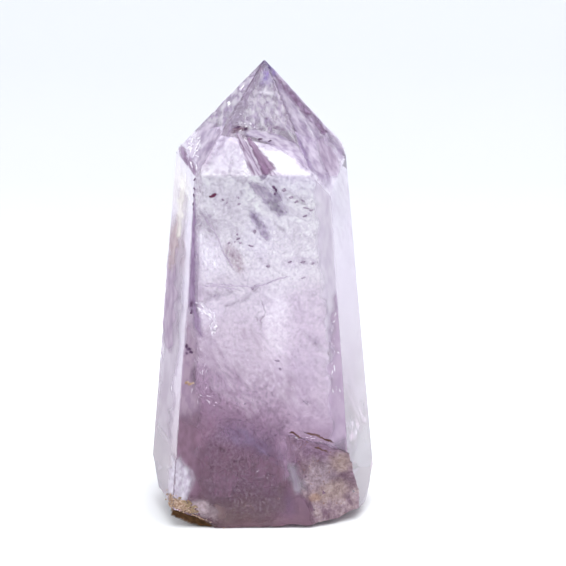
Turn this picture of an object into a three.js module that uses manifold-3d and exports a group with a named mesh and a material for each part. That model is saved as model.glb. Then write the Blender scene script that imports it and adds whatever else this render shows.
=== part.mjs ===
// Amethyst point: one quartz crystal with six polished sides and a six-faced tip, standing on
// its sawn foot. A corner has split off at the front right and the rim of the foot is broken.
// Millimetres, +Z up. The foot is the plane z = 0 and the crystal's axis is near x = 0, y = 0.
import * as THREE from 'three';
import { ConvexGeometry } from 'three/addons/geometries/ConvexGeometry.js';
import { ImprovedNoise } from 'three/addons/math/ImprovedNoise.js';
import * as BufferGeometryUtils from 'three/addons/utils/BufferGeometryUtils.js';
import Module from 'manifold-3d';

// Polished sides
// compass: degrees about +Z from +X that the face looks to (-90 is the front).
// lean: degrees that the face tips in from upright. reach: distance from the axis at z = 0.
const SIDES = {
  front: { compass: -90, lean: 4.5, reach: 20 },
  frontRight: { compass: -17.9, lean: 5.2, reach: 22.8 },
  backRight: { compass: 21, lean: 5, reach: 20.8 },
  back: { compass: 88.3, lean: 5, reach: 19 },
  backLeft: { compass: 158, lean: 4, reach: 21.4 },
  frontLeft: { compass: -161.8, lean: 5.4, reach: 23.4 },
};

// Tip facets, which all run up to one sharp tip
const TIP = new THREE.Vector3(0.2, 0, 90.5);
const TIP_FACETS = {
  front: { compass: -90.2, lean: 34.5 },
  frontRight: { compass: -36.5, lean: 37.2 },
  backRight: { compass: 44.4, lean: 32.5 },
  back: { compass: 82.6, lean: 29.5 },
  backLeft: { compass: 149.6, lean: 40.6 },
  frontLeft: { compass: -153, lean: 40.7 },
};

// Wear: the narrow flat that handling leaves along each polished edge, and how much of the
// sharp tip it takes
const EDGE_WEAR_WIDTH = 0.3;
const TIP_WEAR = 0.25;

// Split corner at the front right. Its surface is a valley between a flank, which falls away to
// the right, and a roof, which falls away downwards; both start at one place on the front face.
const SPLIT = {
  start: new THREE.Vector3(3.9, -18.5, 19.1),
  flankPerX: 0.544,
  flankPerZ: 0.249,
  roofPerX: -0.178,
  roofPerZ: -0.566,
  right: 26,
  bottom: -2,
  top: 22,
  cell: 0.75,
};
const LEDGE_DROP = 1.1;
const LEDGE_BANDS = 2;
const LEDGE_RISE_SHARE = 0.3;
const GOUGE = {
  top: new THREE.Vector2(5.5, 12.5),
  bottom: new THREE.Vector2(7.7, 6.7),
  halfWidth: 1.4,
  depth: 0.7,
};

// Broken rim of the foot. Each slope lifts the underside beyond a line that lies `from` mm from
// the axis: by `rise` at first, then less and less, `easing` mm out at half that. Each chip is a
// scoop that bites up an edge from a place on it.
const RIM_SLOPES = [
  { compass: -174, from: 11.5, rise: 0.85, easing: 11 },
  { compass: -8, from: 13.5, rise: 0.4, easing: 20 },
  { compass: -45, from: 17.5, rise: 0.42, easing: 8 },
  { compass: -78, from: 18.4, rise: 0.36, easing: 40 },
  { compass: 62, from: 19.5, rise: 0.6, easing: 12 },
  { compass: 118, from: 20.2, rise: 0.5, easing: 12 },
];
const RIM_CHIPS = [
  { x: -23.4, y: -0.6, height: 10.9, fallX: 0.9, fallY: 0.6 },
  { x: 22.8, y: -2.3, height: 8.3, fallX: 1, fallY: 0.6 },
  { x: 11.5, y: 19.5, height: 5.2, fallX: 0.7, fallY: 1.1 },
  { x: -6, y: 19.2, height: 2.2, fallX: 0.4, fallY: 0.8 },
];
const RIM_WIDTH = 52;
const RIM_DEPTH = 46;
const RIM_CELL = 1.1;
const FOOT_CLEARANCE = 0.6;

// Grain of the broken surfaces: a coarse and a fine swell, each with its size and height
const COARSE_GRAIN = { size: 3.1, height: 0.42 };
const FINE_GRAIN = { size: 1.25, height: 0.2 };
const CELL_SHIFT = { share: 0.3, pace: 1.7, acrossLayer: 0.5 };
const RIM_GRAIN_START = 0.5;
const RIM_WANDER = { size: 6.5, reach: 1.3 };
const NOISE_LAYERS = { splitShift: 2, splitGrain: 4, rimShift: 7, rimGrain: 9, rimWander: 15 };

// Nicks in the polished edges: which two faces meet there, how far down that edge from its
// upper end, how wide the nick is and how deep it bites
const NICKS = [
  { edge: ['tipBackLeft', 'tipFrontLeft'], along: 0.36, width: 1.7, bite: 0.3 },
  { edge: ['tipBackLeft', 'tipFrontLeft'], along: 0.56, width: 2, bite: 0.32 },
  { edge: ['tipBackLeft', 'tipFrontLeft'], along: 0.99, width: 1.6, bite: 0.3 },
  { edge: ['tipFront', 'tipFrontLeft'], along: 0.97, width: 1.5, bite: 0.25 },
  { edge: ['front', 'frontLeft'], along: 0.03, width: 1.2, bite: 0.24 },
  { edge: ['front', 'frontLeft'], along: 0.08, width: 1.5, bite: 0.28 },
  { edge: ['front', 'frontLeft'], along: 0.42, width: 1.7, bite: 0.3 },
  { edge: ['front', 'frontRight'], along: 0.44, width: 1.8, bite: 0.32 },
  { edge: ['front', 'frontRight'], along: 0.7, width: 2, bite: 0.3 },
  { edge: ['backLeft', 'frontLeft'], along: 0.51, width: 1.5, bite: 0.28 },
  { edge: ['backLeft', 'frontLeft'], along: 0.67, width: 1.3, bite: 0.24 },
  { edge: ['backRight', 'frontRight'], along: 0.36, width: 1.3, bite: 0.22 },
  { edge: ['back', 'backRight'], along: 0.55, width: 2, bite: 0.34 },
  { edge: ['back', 'backLeft'], along: 0.2, width: 1.6, bite: 0.28 },
];
const NICK_DETAIL = 1;
const NICK_TURN = { x: 1.3, y: 2.1 };

// Working margins of the sums below
const CUT_OVERSHOOT = 8;
const SAME_PLACE = 1e-3;

const wasm = await Module();
wasm.setup();
const noise = new ImprovedNoise();

function facing({ compass, lean }) {
  const turn = THREE.MathUtils.degToRad(compass);
  const rise = THREE.MathUtils.degToRad(lean);
  return new THREE.Vector3(
    Math.cos(turn) * Math.cos(rise),
    Math.sin(turn) * Math.cos(rise),
    Math.sin(rise),
  );
}

// A face is a unit normal and its distance from the origin
function sideFace(side) {
  const normal = facing(side);
  return { normal, distance: side.reach * Math.cos(THREE.MathUtils.degToRad(side.lean)) };
}

function tipFace(facet) {
  const normal = facing(facet);
  return { normal, distance: normal.dot(TIP) };
}

function meetingPoint(a, b, c) {
  const bc = new THREE.Vector3().crossVectors(b.normal, c.normal);
  const ca = new THREE.Vector3().crossVectors(c.normal, a.normal);
  const ab = new THREE.Vector3().crossVectors(a.normal, b.normal);
  const volume = a.normal.dot(bc);
  if (Math.abs(volume) < SAME_PLACE) {
    return null;
  }
  return bc.multiplyScalar(a.distance).addScaledVector(ca, b.distance)
    .addScaledVector(ab, c.distance).divideScalar(volume);
}

function cornersOf(faces) {
  const corners = [];
  faces.forEach((a, i) => faces.slice(i + 1).forEach((b, j) => {
    faces.slice(i + j + 2).forEach((c) => {
      const point = meetingPoint(a, b, c);
      const inside = point && faces.every((f) => f.normal.dot(point) < f.distance + SAME_PLACE);
      if (inside && !corners.some((corner) => corner.distanceTo(point) < SAME_PLACE)) {
        corners.push(point);
      }
    });
  }));
  return corners;
}

// The two ends of the edge between two faces, upper end first, or null where they don't meet
function edgeBetween(a, b, corners) {
  const ends = corners.filter((corner) => [a, b].every(
    (face) => Math.abs(face.normal.dot(corner) - face.distance) < SAME_PLACE,
  ));
  return ends.length === 2 ? ends.sort((p, q) => q.z - p.z) : null;
}

function outwardAt(a, b) {
  return new THREE.Vector3().addVectors(a.normal, b.normal).normalize();
}

function wornFlat(a, b, ends) {
  const normal = outwardAt(a, b);
  const depth = (EDGE_WEAR_WIDTH / 2) * Math.tan(a.normal.angleTo(b.normal) / 2);
  return { normal, distance: normal.dot(ends[0]) - depth };
}

function toManifold(geometry) {
  geometry.deleteAttribute('normal');
  geometry.deleteAttribute('uv');
  const merged = BufferGeometryUtils.mergeVertices(geometry, SAME_PLACE);
  return new wasm.Manifold(new wasm.Mesh({
    numProp: 3,
    vertProperties: new Float32Array(merged.attributes.position.array),
    triVerts: new Uint32Array(merged.index.array),
  }));
}

function grainAt(u, v, layer) {
  return [COARSE_GRAIN, FINE_GRAIN].reduce(
    (sum, { size, height }) => sum + height * noise.noise(u / size, v / size, layer + size),
    0,
  );
}

// Moves a grid point sideways by part of a cell, so the broken surface has no even rows
function shifted(u, v, cell, layer) {
  const { share, pace, acrossLayer } = CELL_SHIFT;
  const reach = cell * share;
  return [
    u + reach * noise.noise(u * pace, v * pace, layer),
    v + reach * noise.noise(v * pace, u * pace, layer + acrossLayer),
  ];
}

// Ledges step the roof of the split down in bands and leave it smooth below them
function withLedges(fall) {
  const band = Math.floor(fall / LEDGE_DROP);
  if (fall < 0 || band >= LEDGE_BANDS) {
    return fall;
  }
  const within = fall / LEDGE_DROP - band;
  return LEDGE_DROP * (band + THREE.MathUtils.smoothstep(within, 0, LEDGE_RISE_SHARE));
}

function gougeAt(x, z) {
  const spot = new THREE.Vector2(x, z);
  const run = new THREE.Vector2().subVectors(GOUGE.bottom, GOUGE.top);
  const share = spot.clone().sub(GOUGE.top).dot(run) / run.lengthSq();
  const nearest = GOUGE.top.clone().addScaledVector(run, THREE.MathUtils.clamp(share, 0, 1));
  const away = spot.distanceTo(nearest) / GOUGE.halfWidth;
  return GOUGE.depth * (1 - THREE.MathUtils.smoothstep(away, 0, 1));
}

// Depth coordinate y of the split surface at a place seen from the front
function splitSurface(x, z) {
  const right = x - SPLIT.start.x;
  const up = z - SPLIT.start.z;
  const flank = SPLIT.flankPerX * right + SPLIT.flankPerZ * up + gougeAt(x, z);
  const roof = withLedges(SPLIT.roofPerX * right + SPLIT.roofPerZ * up);
  return SPLIT.start.y + Math.min(flank, roof) + grainAt(x, z, NOISE_LAYERS.splitGrain);
}

function splitCorner() {
  const width = SPLIT.right - SPLIT.start.x + CUT_OVERSHOOT;
  const height = SPLIT.top - SPLIT.bottom;
  const body = new THREE.BoxGeometry(
    width, CUT_OVERSHOOT, height,
    Math.round(width / SPLIT.cell), 1, Math.round(height / SPLIT.cell),
  );
  body.translate(SPLIT.right - width / 2, 0, (SPLIT.top + SPLIT.bottom) / 2);
  const spots = body.attributes.position;
  for (let i = 0; i < spots.count; i += 1) {
    if (spots.getY(i) > 0) {
      const [u, v] = [spots.getX(i), spots.getZ(i)];
      const [x, z] = shifted(u, v, SPLIT.cell, NOISE_LAYERS.splitShift);
      spots.setXYZ(i, x, splitSurface(x, z), z);
    } else {
      spots.setY(i, SPLIT.start.y - CUT_OVERSHOOT);
    }
  }
  return toManifold(body);
}

// Height of the broken underside at a place on the foot, below zero where the foot is whole
function rimSurface(x, y) {
  const { size, reach } = RIM_WANDER;
  const wander = reach * noise.noise(x / size, y / size, NOISE_LAYERS.rimWander);
  const slopes = RIM_SLOPES.map(({ compass, from, rise, easing }) => {
    const turn = THREE.MathUtils.degToRad(compass);
    const out = x * Math.cos(turn) + y * Math.sin(turn) - from - wander;
    return rise * out / (1 + Math.max(out, 0) / easing);
  });
  const chips = RIM_CHIPS.map((chip) => chip.height
    - chip.fallX * Math.abs(x - chip.x) - chip.fallY * Math.abs(y - chip.y));
  const lift = Math.max(...slopes, ...chips);
  const broken = THREE.MathUtils.smoothstep(lift, -RIM_GRAIN_START, RIM_GRAIN_START);
  return Math.max(lift + broken * grainAt(x, y, NOISE_LAYERS.rimGrain), -FOOT_CLEARANCE);
}

function brokenRim() {
  const body = new THREE.BoxGeometry(
    RIM_WIDTH, RIM_DEPTH, CUT_OVERSHOOT,
    Math.round(RIM_WIDTH / RIM_CELL), Math.round(RIM_DEPTH / RIM_CELL), 1,
  );
  const spots = body.attributes.position;
  for (let i = 0; i < spots.count; i += 1) {
    if (spots.getZ(i) > 0) {
      const [u, v] = [spots.getX(i), spots.getY(i)];
      const [x, y] = shifted(u, v, RIM_CELL, NOISE_LAYERS.rimShift);
      spots.setXYZ(i, x, y, rimSurface(x, y));
    } else {
      spots.setZ(i, -CUT_OVERSHOOT);
    }
  }
  return toManifold(body);
}

// A nick is the bite that a small many-faced stone would leave
function nickBody({ edge, along, width, bite }, faces, corners, index) {
  const [a, b] = edge.map((name) => faces[name]);
  const [upper, lower] = edgeBetween(a, b, corners);
  const radius = (width * width / 4 + bite * bite) / (2 * bite);
  const stone = new THREE.IcosahedronGeometry(radius, NICK_DETAIL);
  stone.rotateX(index * NICK_TURN.x);
  stone.rotateY(index * NICK_TURN.y);
  const centre = upper.clone().lerp(lower, along).addScaledVector(outwardAt(a, b), radius - bite);
  stone.translate(centre.x, centre.y, centre.z);
  return toManifold(stone);
}

const faces = { foot: { normal: new THREE.Vector3(0, 0, -1), distance: 0 } };
Object.entries(SIDES).forEach(([name, side]) => {
  faces[name] = sideFace(side);
});
Object.entries(TIP_FACETS).forEach(([name, facet]) => {
  faces[`tip${name[0].toUpperCase()}${name.slice(1)}`] = tipFace(facet);
});
const corners = cornersOf(Object.values(faces));

const polished = Object.values(faces).filter((face) => face !== faces.foot);
const wornFlats = [];
polished.forEach((a, i) => polished.slice(i + 1).forEach((b) => {
  const ends = edgeBetween(a, b, corners);
  if (ends) {
    wornFlats.push(wornFlat(a, b, ends));
  }
}));

const wornTip = { normal: new THREE.Vector3(0, 0, 1), distance: TIP.z - TIP_WEAR };

const hull = cornersOf([...Object.values(faces), ...wornFlats, wornTip]);
let crystal = toManifold(new ConvexGeometry(hull));
crystal = crystal.subtract(splitCorner());
crystal = crystal.subtract(brokenRim());
NICKS.forEach((nick, index) => {
  crystal = crystal.subtract(nickBody(nick, faces, corners, index));
});

const { vertProperties, triVerts } = crystal.getMesh();
const indexed = new THREE.BufferGeometry();
indexed.setAttribute('position', new THREE.BufferAttribute(new Float32Array(vertProperties), 3));
indexed.setIndex(new THREE.BufferAttribute(new Uint32Array(triVerts), 1));
const geometry = indexed.toNonIndexed();
geometry.computeVertexNormals();

const amethyst = new THREE.Mesh(geometry, new THREE.MeshStandardMaterial({
  color: new THREE.Color(0.62, 0.5, 0.66),
  roughness: 0.08,
  metalness: 0,
}));
amethyst.name = 'amethyst_point';

const group = new THREE.Group();
group.name = 'amethyst_point_crystal';
group.add(amethyst);

export default group;
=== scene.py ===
# %% [markdown]
# # An amethyst point
#
# The object is one crystal of violet quartz, cut and polished to a six-sided point that stands
# on its flat foot. Its shape comes finished from the CAD frame. This lesson gives it its looks:
# see-through quartz whose colour deepens towards the foot, the veils, feathers and specks that
# lie inside it, and the grain and iron stain of its broken corners.

# %% Load the stone as a fixed frame
import math
import random

import bpy
import bmesh
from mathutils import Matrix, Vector, noise


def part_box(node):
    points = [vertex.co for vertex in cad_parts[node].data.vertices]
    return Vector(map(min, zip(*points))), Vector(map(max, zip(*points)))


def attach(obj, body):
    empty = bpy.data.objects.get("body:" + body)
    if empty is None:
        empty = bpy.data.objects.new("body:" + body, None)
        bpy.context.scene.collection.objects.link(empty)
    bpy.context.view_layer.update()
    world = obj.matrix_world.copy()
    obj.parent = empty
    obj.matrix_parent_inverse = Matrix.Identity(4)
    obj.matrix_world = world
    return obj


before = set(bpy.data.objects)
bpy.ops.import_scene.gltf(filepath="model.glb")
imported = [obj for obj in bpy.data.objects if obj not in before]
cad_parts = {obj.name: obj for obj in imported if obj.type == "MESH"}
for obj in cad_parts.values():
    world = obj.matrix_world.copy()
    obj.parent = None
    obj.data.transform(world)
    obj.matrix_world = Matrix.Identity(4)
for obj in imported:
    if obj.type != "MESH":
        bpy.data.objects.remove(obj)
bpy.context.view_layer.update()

scene = bpy.context.scene
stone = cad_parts["amethyst_point"]
MM = 0.001
low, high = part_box("amethyst_point")
print("stone", [round(side / MM, 1) for side in high - low], "mm,", len(stone.data.polygons), "faces")

# %% [markdown]
# ## Camera
# A photograph of a small stone is taken from a little above and from about a forearm away. The
# camera aims at the middle of the stone's height and looks down by twelve degrees, and the lens
# is chosen so that the stone fills the frame as it does in the photograph.

# %% Place the camera
AIM = Vector((3.86, 0, 45.19)) * MM
LOOK_DOWN = math.radians(12)
CAMERA_AWAY = 340 * MM
LENS = 106.32
SENSOR = 36

camera = bpy.data.objects.new("camera", bpy.data.cameras.new("camera"))
scene.collection.objects.link(camera)
camera.location = AIM + CAMERA_AWAY * Vector((0, -math.cos(LOOK_DOWN), math.sin(LOOK_DOWN)))
camera.rotation_euler = (AIM - camera.location).to_track_quat("-Z", "Y").to_euler()
camera.data.lens = LENS
camera.data.sensor_width = SENSOR
camera.data.clip_start = 10 * MM
scene.camera = camera
print("camera", [round(c / MM) for c in camera.location], "mm")

# %% [markdown]
# ## Colours and nodes
# Colours are easier to judge as they look on a screen, from 0 to 255, but shaders work in linear
# light. `screen` turns one into the other.

# %% Turn screen colours into light
def screen(red, green, blue):
    """Linear RGBA of a colour given as it looks on a screen."""
    def linear(value):
        share = value / 255
        return share / 12.92 if share <= 0.04045 else ((share + 0.055) / 1.055) ** 2.4
    return (linear(red), linear(green), linear(blue), 1)


print("a violet in linear light:", [round(c, 3) for c in screen(150, 110, 134)])

# %% [markdown]
# A material is a tree of nodes. `add` places a node and wires its inputs in one call, and `calc`
# and `levels` do the same for sums and ranges, which keeps each material short enough to read.

# %% Add and wire nodes
def wire(tree, node, inputs):
    """Sets a node's inputs, by name or number, to values, or links them to sockets."""
    for key, value in inputs.items():
        if isinstance(value, bpy.types.NodeSocket):
            tree.links.new(value, node.inputs[key])
        else:
            node.inputs[key].default_value = value


def add(tree, kind, inputs=None, **settings):
    """Adds a node, applies its settings and wires its inputs."""
    node = tree.nodes.new(kind)
    for name, value in settings.items():
        setattr(node, name, value)
    wire(tree, node, inputs or {})
    return node


def calc(tree, operation, *values):
    """The result of a sum of values and sockets, as a socket."""
    return add(tree, "ShaderNodeMath", dict(enumerate(values)), operation=operation).outputs[0]


def levels(tree, value, start, end, low=0.0, high=1.0, way="LINEAR"):
    """Carries a value from the range start to end over to low to high."""
    return add(tree, "ShaderNodeMapRange", {
        "Value": value, "From Min": start, "From Max": end, "To Min": low, "To Max": high,
    }, interpolation_type=way).outputs["Result"]

# %% [markdown]
# Colours are blended two at a time, or graded along a value. `ramp_up` grades them over a height
# in millimetres, as the paper behind the stone and the zones in it need.

# %% Blend and grade colours
def blend_colours(tree, share, first, second, way="MIX"):
    """Blends two colours by a share and returns the result's socket."""
    return add(tree, "ShaderNodeMix", {0: share, 6: first, 7: second},
               data_type="RGBA", blend_type=way).outputs[2]


def ramp(tree, share, stops):
    """A colour ramp through (place, colour) stops, and returns its colour socket."""
    node = add(tree, "ShaderNodeValToRGB", {"Fac": share})
    elements = node.color_ramp.elements
    while len(elements) < len(stops):
        elements.new(0.5)
    for element, (place, colour) in zip(elements, stops):
        element.position = place
        element.color = colour
    return node.outputs["Color"]


def ramp_up(tree, height, top, stops):
    """A colour ramp over a height, with its top and its stops in millimetres."""
    share = calc(tree, "MULTIPLY", height, 1 / (top * MM))
    return ramp(tree, share, [(mm / top, colour) for mm, colour in stops])

# %% [markdown]
# Each material starts the same way: a Principled BSDF gets its plain values, such as how much
# light goes through it and how it bends. What varies over the surface is worked out from the
# place in the object, so it needs no unwrapping and runs on from one face to the next.

# %% Start a material
def object_place(tree):
    """The place in the object, in metres, as a socket."""
    return add(tree, "ShaderNodeTexCoord").outputs["Object"]


def new_material(name, constants):
    """A material, its node tree and its Principled BSDF with these plain values on its sockets."""
    material = bpy.data.materials.new(name)
    material.use_nodes = True
    shader = material.node_tree.nodes["Principled BSDF"]
    wire(material.node_tree, shader, constants)
    return material, material.node_tree, shader

# %% [markdown]
# ## Stage and light
# The stone was photographed on white paper that curves up behind it, in soft daylight. A sweep, a
# floor that rises into a wall in one quarter circle, has no horizon line. The paper's colour is
# painted darker and bluer on its way up: a painted shade for the wall, which gets less of the light
# from above than the floor does.

# %% Build the sweep
FLOOR_Z = -0.05 * MM
SWEEP_WIDTH = 2400 * MM
SWEEP_FRONT = -800 * MM
SWEEP_BEND_START = 140 * MM
SWEEP_RADIUS = 250 * MM
SWEEP_TOP = 1200 * MM
SWEEP_STEPS = 24
PAPER_TOP = 100
# painted shade: the paper's colour darkens with height in place of the light falling off up the wall
PAPER_PAINTED_SHADE = [
    (0.5, (0.93, 0.94, 0.95, 1)), (4, (0.8, 0.81, 0.83, 1)), (11, (0.67, 0.68, 0.71, 1)),
    (28, (0.62, 0.63, 0.665, 1)), (65, (0.585, 0.6, 0.64, 1)),
]

profile = [(SWEEP_FRONT, FLOOR_Z)]
for step in range(SWEEP_STEPS + 1):
    turn = math.pi / 2 * step / SWEEP_STEPS
    profile.append((SWEEP_BEND_START + SWEEP_RADIUS * math.sin(turn),
                    FLOOR_Z + SWEEP_RADIUS * (1 - math.cos(turn))))
profile.append((SWEEP_BEND_START + SWEEP_RADIUS, SWEEP_TOP))

vertices = [(side * SWEEP_WIDTH / 2, y, z) for y, z in profile for side in (-1, 1)]
strips = [(2 * i, 2 * i + 1, 2 * i + 3, 2 * i + 2) for i in range(len(profile) - 1)]
sweep_mesh = bpy.data.meshes.new("sweep")
sweep_mesh.from_pydata(vertices, [], strips)
for polygon in sweep_mesh.polygons:
    polygon.use_smooth = True
sweep = bpy.data.objects.new("sweep", sweep_mesh)
scene.collection.objects.link(sweep)
paper, paper_tree, paper_shader = new_material("paper", {"Roughness": 0.85})
up_sweep = add(paper_tree, "ShaderNodeSeparateXYZ", {0: object_place(paper_tree)}).outputs["Z"]
wire(paper_tree, paper_shader, {
    "Base Color": ramp_up(paper_tree, up_sweep, PAPER_TOP, PAPER_PAINTED_SHADE),
})
sweep_mesh.materials.append(paper)
print("sweep of", len(strips), "strips")

# %% [markdown]
# The world gives the even light that a clear stone needs all round. A large lamp above stands for
# the window, and a weak one at the left lifts the shadow at the foot. Light that goes through
# clear stone and many thin sheets needs more bounces than usual, or it would go dark.

# %% Light the stage
SKY = (0.93, 0.96, 1, 1)
SKY_STRENGTH = 0.8
WINDOW_PLACE = Vector((180, -150, 900)) * MM
WINDOW_SIZE = 900 * MM
WINDOW_POWER = 8.0
FILL_PLACE = Vector((-600, -250, 320)) * MM
FILL_SIZE = 600 * MM
FILL_POWER = 1.6
BOUNCES = 24
THIN_LAYERS = 32

world = bpy.data.worlds.new("daylight")
world.use_nodes = True
sky = world.node_tree.nodes["Background"]
wire(world.node_tree, sky, {"Color": SKY, "Strength": SKY_STRENGTH})
scene.world = world


def soft_lamp(name, place, size, power):
    """A square soft lamp at a place, turned to the middle of the stone."""
    light = bpy.data.lights.new(name, "AREA")
    light.shape = "SQUARE"
    light.size = size
    light.energy = power
    lamp = bpy.data.objects.new(name, light)
    lamp.location = place
    lamp.rotation_euler = (AIM - lamp.location).to_track_quat("-Z", "Y").to_euler()
    scene.collection.objects.link(lamp)
    return lamp


window = soft_lamp("window", WINDOW_PLACE, WINDOW_SIZE, WINDOW_POWER)
fill = soft_lamp("fill", FILL_PLACE, FILL_SIZE, FILL_POWER)

scene.view_settings.view_transform = "Standard"
scene.cycles.max_bounces = BOUNCES
scene.cycles.transmission_bounces = BOUNCES
scene.cycles.glossy_bounces = BOUNCES
scene.cycles.diffuse_bounces = BOUNCES // 2
scene.cycles.transparent_max_bounces = THIN_LAYERS
print("lamps:", [lamp.name for lamp in (window, fill)])

# %% [markdown]
# ## Quartz
# Amethyst is clear quartz that takes its violet from iron. In this stone the tip and the upper
# half are nearly colourless and a little milky, and the colour gathers towards the foot, where
# it turns smoky. Clear stone is made by plain transmission with quartz's own refractive index
# of 1.545 and a thin violet absorption for the light's way through. A share of the light is
# scattered instead, which is the milkiness. The colour zones are worked out from the place in
# the stone, so that they run through it and look right from every side.
#
# Colour, polish, veils and grain all start from one effect, a cloudy noise with a soft threshold.
# It is a node group, so it is built once, and each finish places it with its own values.

# %% Make the shared cloud group
FLOAT = "NodeSocketFloat"
VECTOR = "NodeSocketVector"


def group_with(name, inputs, outputs):
    """A new shader node group with named sockets, its start and its end."""
    group = bpy.data.node_groups.new(name, "ShaderNodeTree")
    for way, sockets in (("INPUT", inputs), ("OUTPUT", outputs)):
        for socket_name, kind, value in sockets:
            socket = group.interface.new_socket(socket_name, in_out=way, socket_type=kind)
            if value is not None:
                socket.default_value = value
    start = group.nodes.new("NodeGroupInput")
    end = group.nodes.new("NodeGroupOutput")
    return group, start, end


def make_cloud_group():
    """Soft noise between two levels: 0 where it is clear and 1 where the cloud is full."""
    group, start, end = group_with(
        "cloud",
        [("Place", VECTOR, None), ("Scale", FLOAT, 1.0), ("Detail", FLOAT, 4.0),
         ("Twist", FLOAT, 0.0), ("Clear Below", FLOAT, 0.4), ("Full Above", FLOAT, 0.6)],
        [("Mask", FLOAT, None), ("Height", FLOAT, None)],
    )
    swirl = add(group, "ShaderNodeTexNoise", {
        "Vector": start.outputs["Place"], "Scale": start.outputs["Scale"],
        "Detail": start.outputs["Detail"], "Distortion": start.outputs["Twist"],
    })
    mask = levels(group, swirl.outputs["Fac"], start.outputs["Clear Below"],
                  start.outputs["Full Above"], way="SMOOTHSTEP")
    wire(group, end, {"Mask": mask, "Height": swirl.outputs["Fac"]})
    return group


cloud_group = make_cloud_group()


def cloud(tree, place, scale, clear_below, full_above, detail=4.0, twist=0.0):
    """Puts the cloud group into a material and returns the node."""
    return add(tree, "ShaderNodeGroup", {
        "Place": place, "Scale": scale, "Detail": detail, "Twist": twist,
        "Clear Below": clear_below, "Full Above": full_above,
    }, node_tree=cloud_group)


print("group", cloud_group.name, "with", len(cloud_group.nodes), "nodes")

# %% [markdown]
# ## Colour patches
# Amethyst takes its colour in patches: paler where it is milky, smoky brown or violet near the
# foot. They could be painted on a map, but a map would lie on the faces and not in the stone. Here
# each is a soft oval at a place in the stone, and a noise pushes its border about. The clear stone
# and its broken skin both use them, so the oval and the push are node groups.

# %% Make the shared patch groups
PATCH_DEPTH = 14
PATCH_FULL = 0.5
PATCH_END = 1.3
PUSH_GAIN = 4  # a noise strays from its middle by about a quarter
NOISE_MIDDLE = (0.5, 0.5, 0.5)


def make_patch_group():
    """Share of a soft oval patch that is turned and stretched about its middle."""
    group, start, end = group_with(
        "patch",
        [(name, VECTOR, None) for name in ("Place", "Middle", "Turn", "Half Sizes")],
        [("Mask", FLOAT, None)],
    )
    local = add(group, "ShaderNodeMapping", {
        "Vector": start.outputs["Place"], "Location": start.outputs["Middle"],
        "Rotation": start.outputs["Turn"], "Scale": start.outputs["Half Sizes"],
    }, vector_type="TEXTURE")
    away = add(group, "ShaderNodeVectorMath", {0: local.outputs["Vector"]}, operation="LENGTH")
    mask = levels(group, away.outputs["Value"], PATCH_END, PATCH_FULL, way="SMOOTHSTEP")
    wire(group, end, {"Mask": mask})
    return group


def make_push_group():
    """A place that a noise of this scale pushes about by its reach."""
    group, start, end = group_with(
        "push", [("Place", VECTOR, None), ("Scale", FLOAT, 1.0), ("Reach", FLOAT, 0.0)],
        [("Place", VECTOR, None)],
    )
    push = add(group, "ShaderNodeTexNoise", {
        "Vector": start.outputs["Place"], "Scale": start.outputs["Scale"], "Detail": 6.0,
    })
    centred = add(group, "ShaderNodeVectorMath", {0: push.outputs["Color"], 1: NOISE_MIDDLE},
                  operation="SUBTRACT")
    pushed_place = add(group, "ShaderNodeVectorMath", {
        0: centred.outputs[0], 1: start.outputs["Reach"], 2: start.outputs["Place"],
    }, operation="MULTIPLY_ADD")
    wire(group, end, {"Place": pushed_place.outputs[0]})
    return group


patch_group = make_patch_group()
push_group = make_push_group()
print("groups:", patch_group.name, "and", push_group.name)

# %% [markdown]
# A patch is written down by where it shows: its middle and its half sizes in millimetres, and its
# dip to the right in degrees. The patches are laid one over the other, like washes of paint.

# %% Lay patches over a colour
def pushed(tree, place, scale, reach):
    """The place pushed about by a noise of this scale, by up to about this many millimetres."""
    return add(tree, "ShaderNodeGroup", {
        "Place": place, "Scale": scale, "Reach": PUSH_GAIN * reach * MM,
    }, node_tree=push_group).outputs["Place"]


def laid_over(tree, place, colour, patches):
    """Lays colour patches over a colour, one after the other."""
    for _, middle, half, dip, tint, strength in patches:
        patch = add(tree, "ShaderNodeGroup", {
            "Place": place, "Middle": Vector(middle) * MM, "Turn": (0, math.radians(dip), 0),
            "Half Sizes": Vector((half[0], PATCH_DEPTH, half[1])) * MM,
        }, node_tree=patch_group)
        share = calc(tree, "MULTIPLY", patch.outputs["Mask"], strength)
        colour = blend_colours(tree, share, colour, screen(*tint))
    return colour


print("a patch reaches", PATCH_DEPTH, "mm into the stone")

# %% [markdown]
# The patches follow the stone's own, from the shoulder down. Each has a name, its middle, half
# sizes, dip, colour and strength. Those of the front lie just behind the front face, so they are
# seen through little stone and keep their place.

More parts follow.
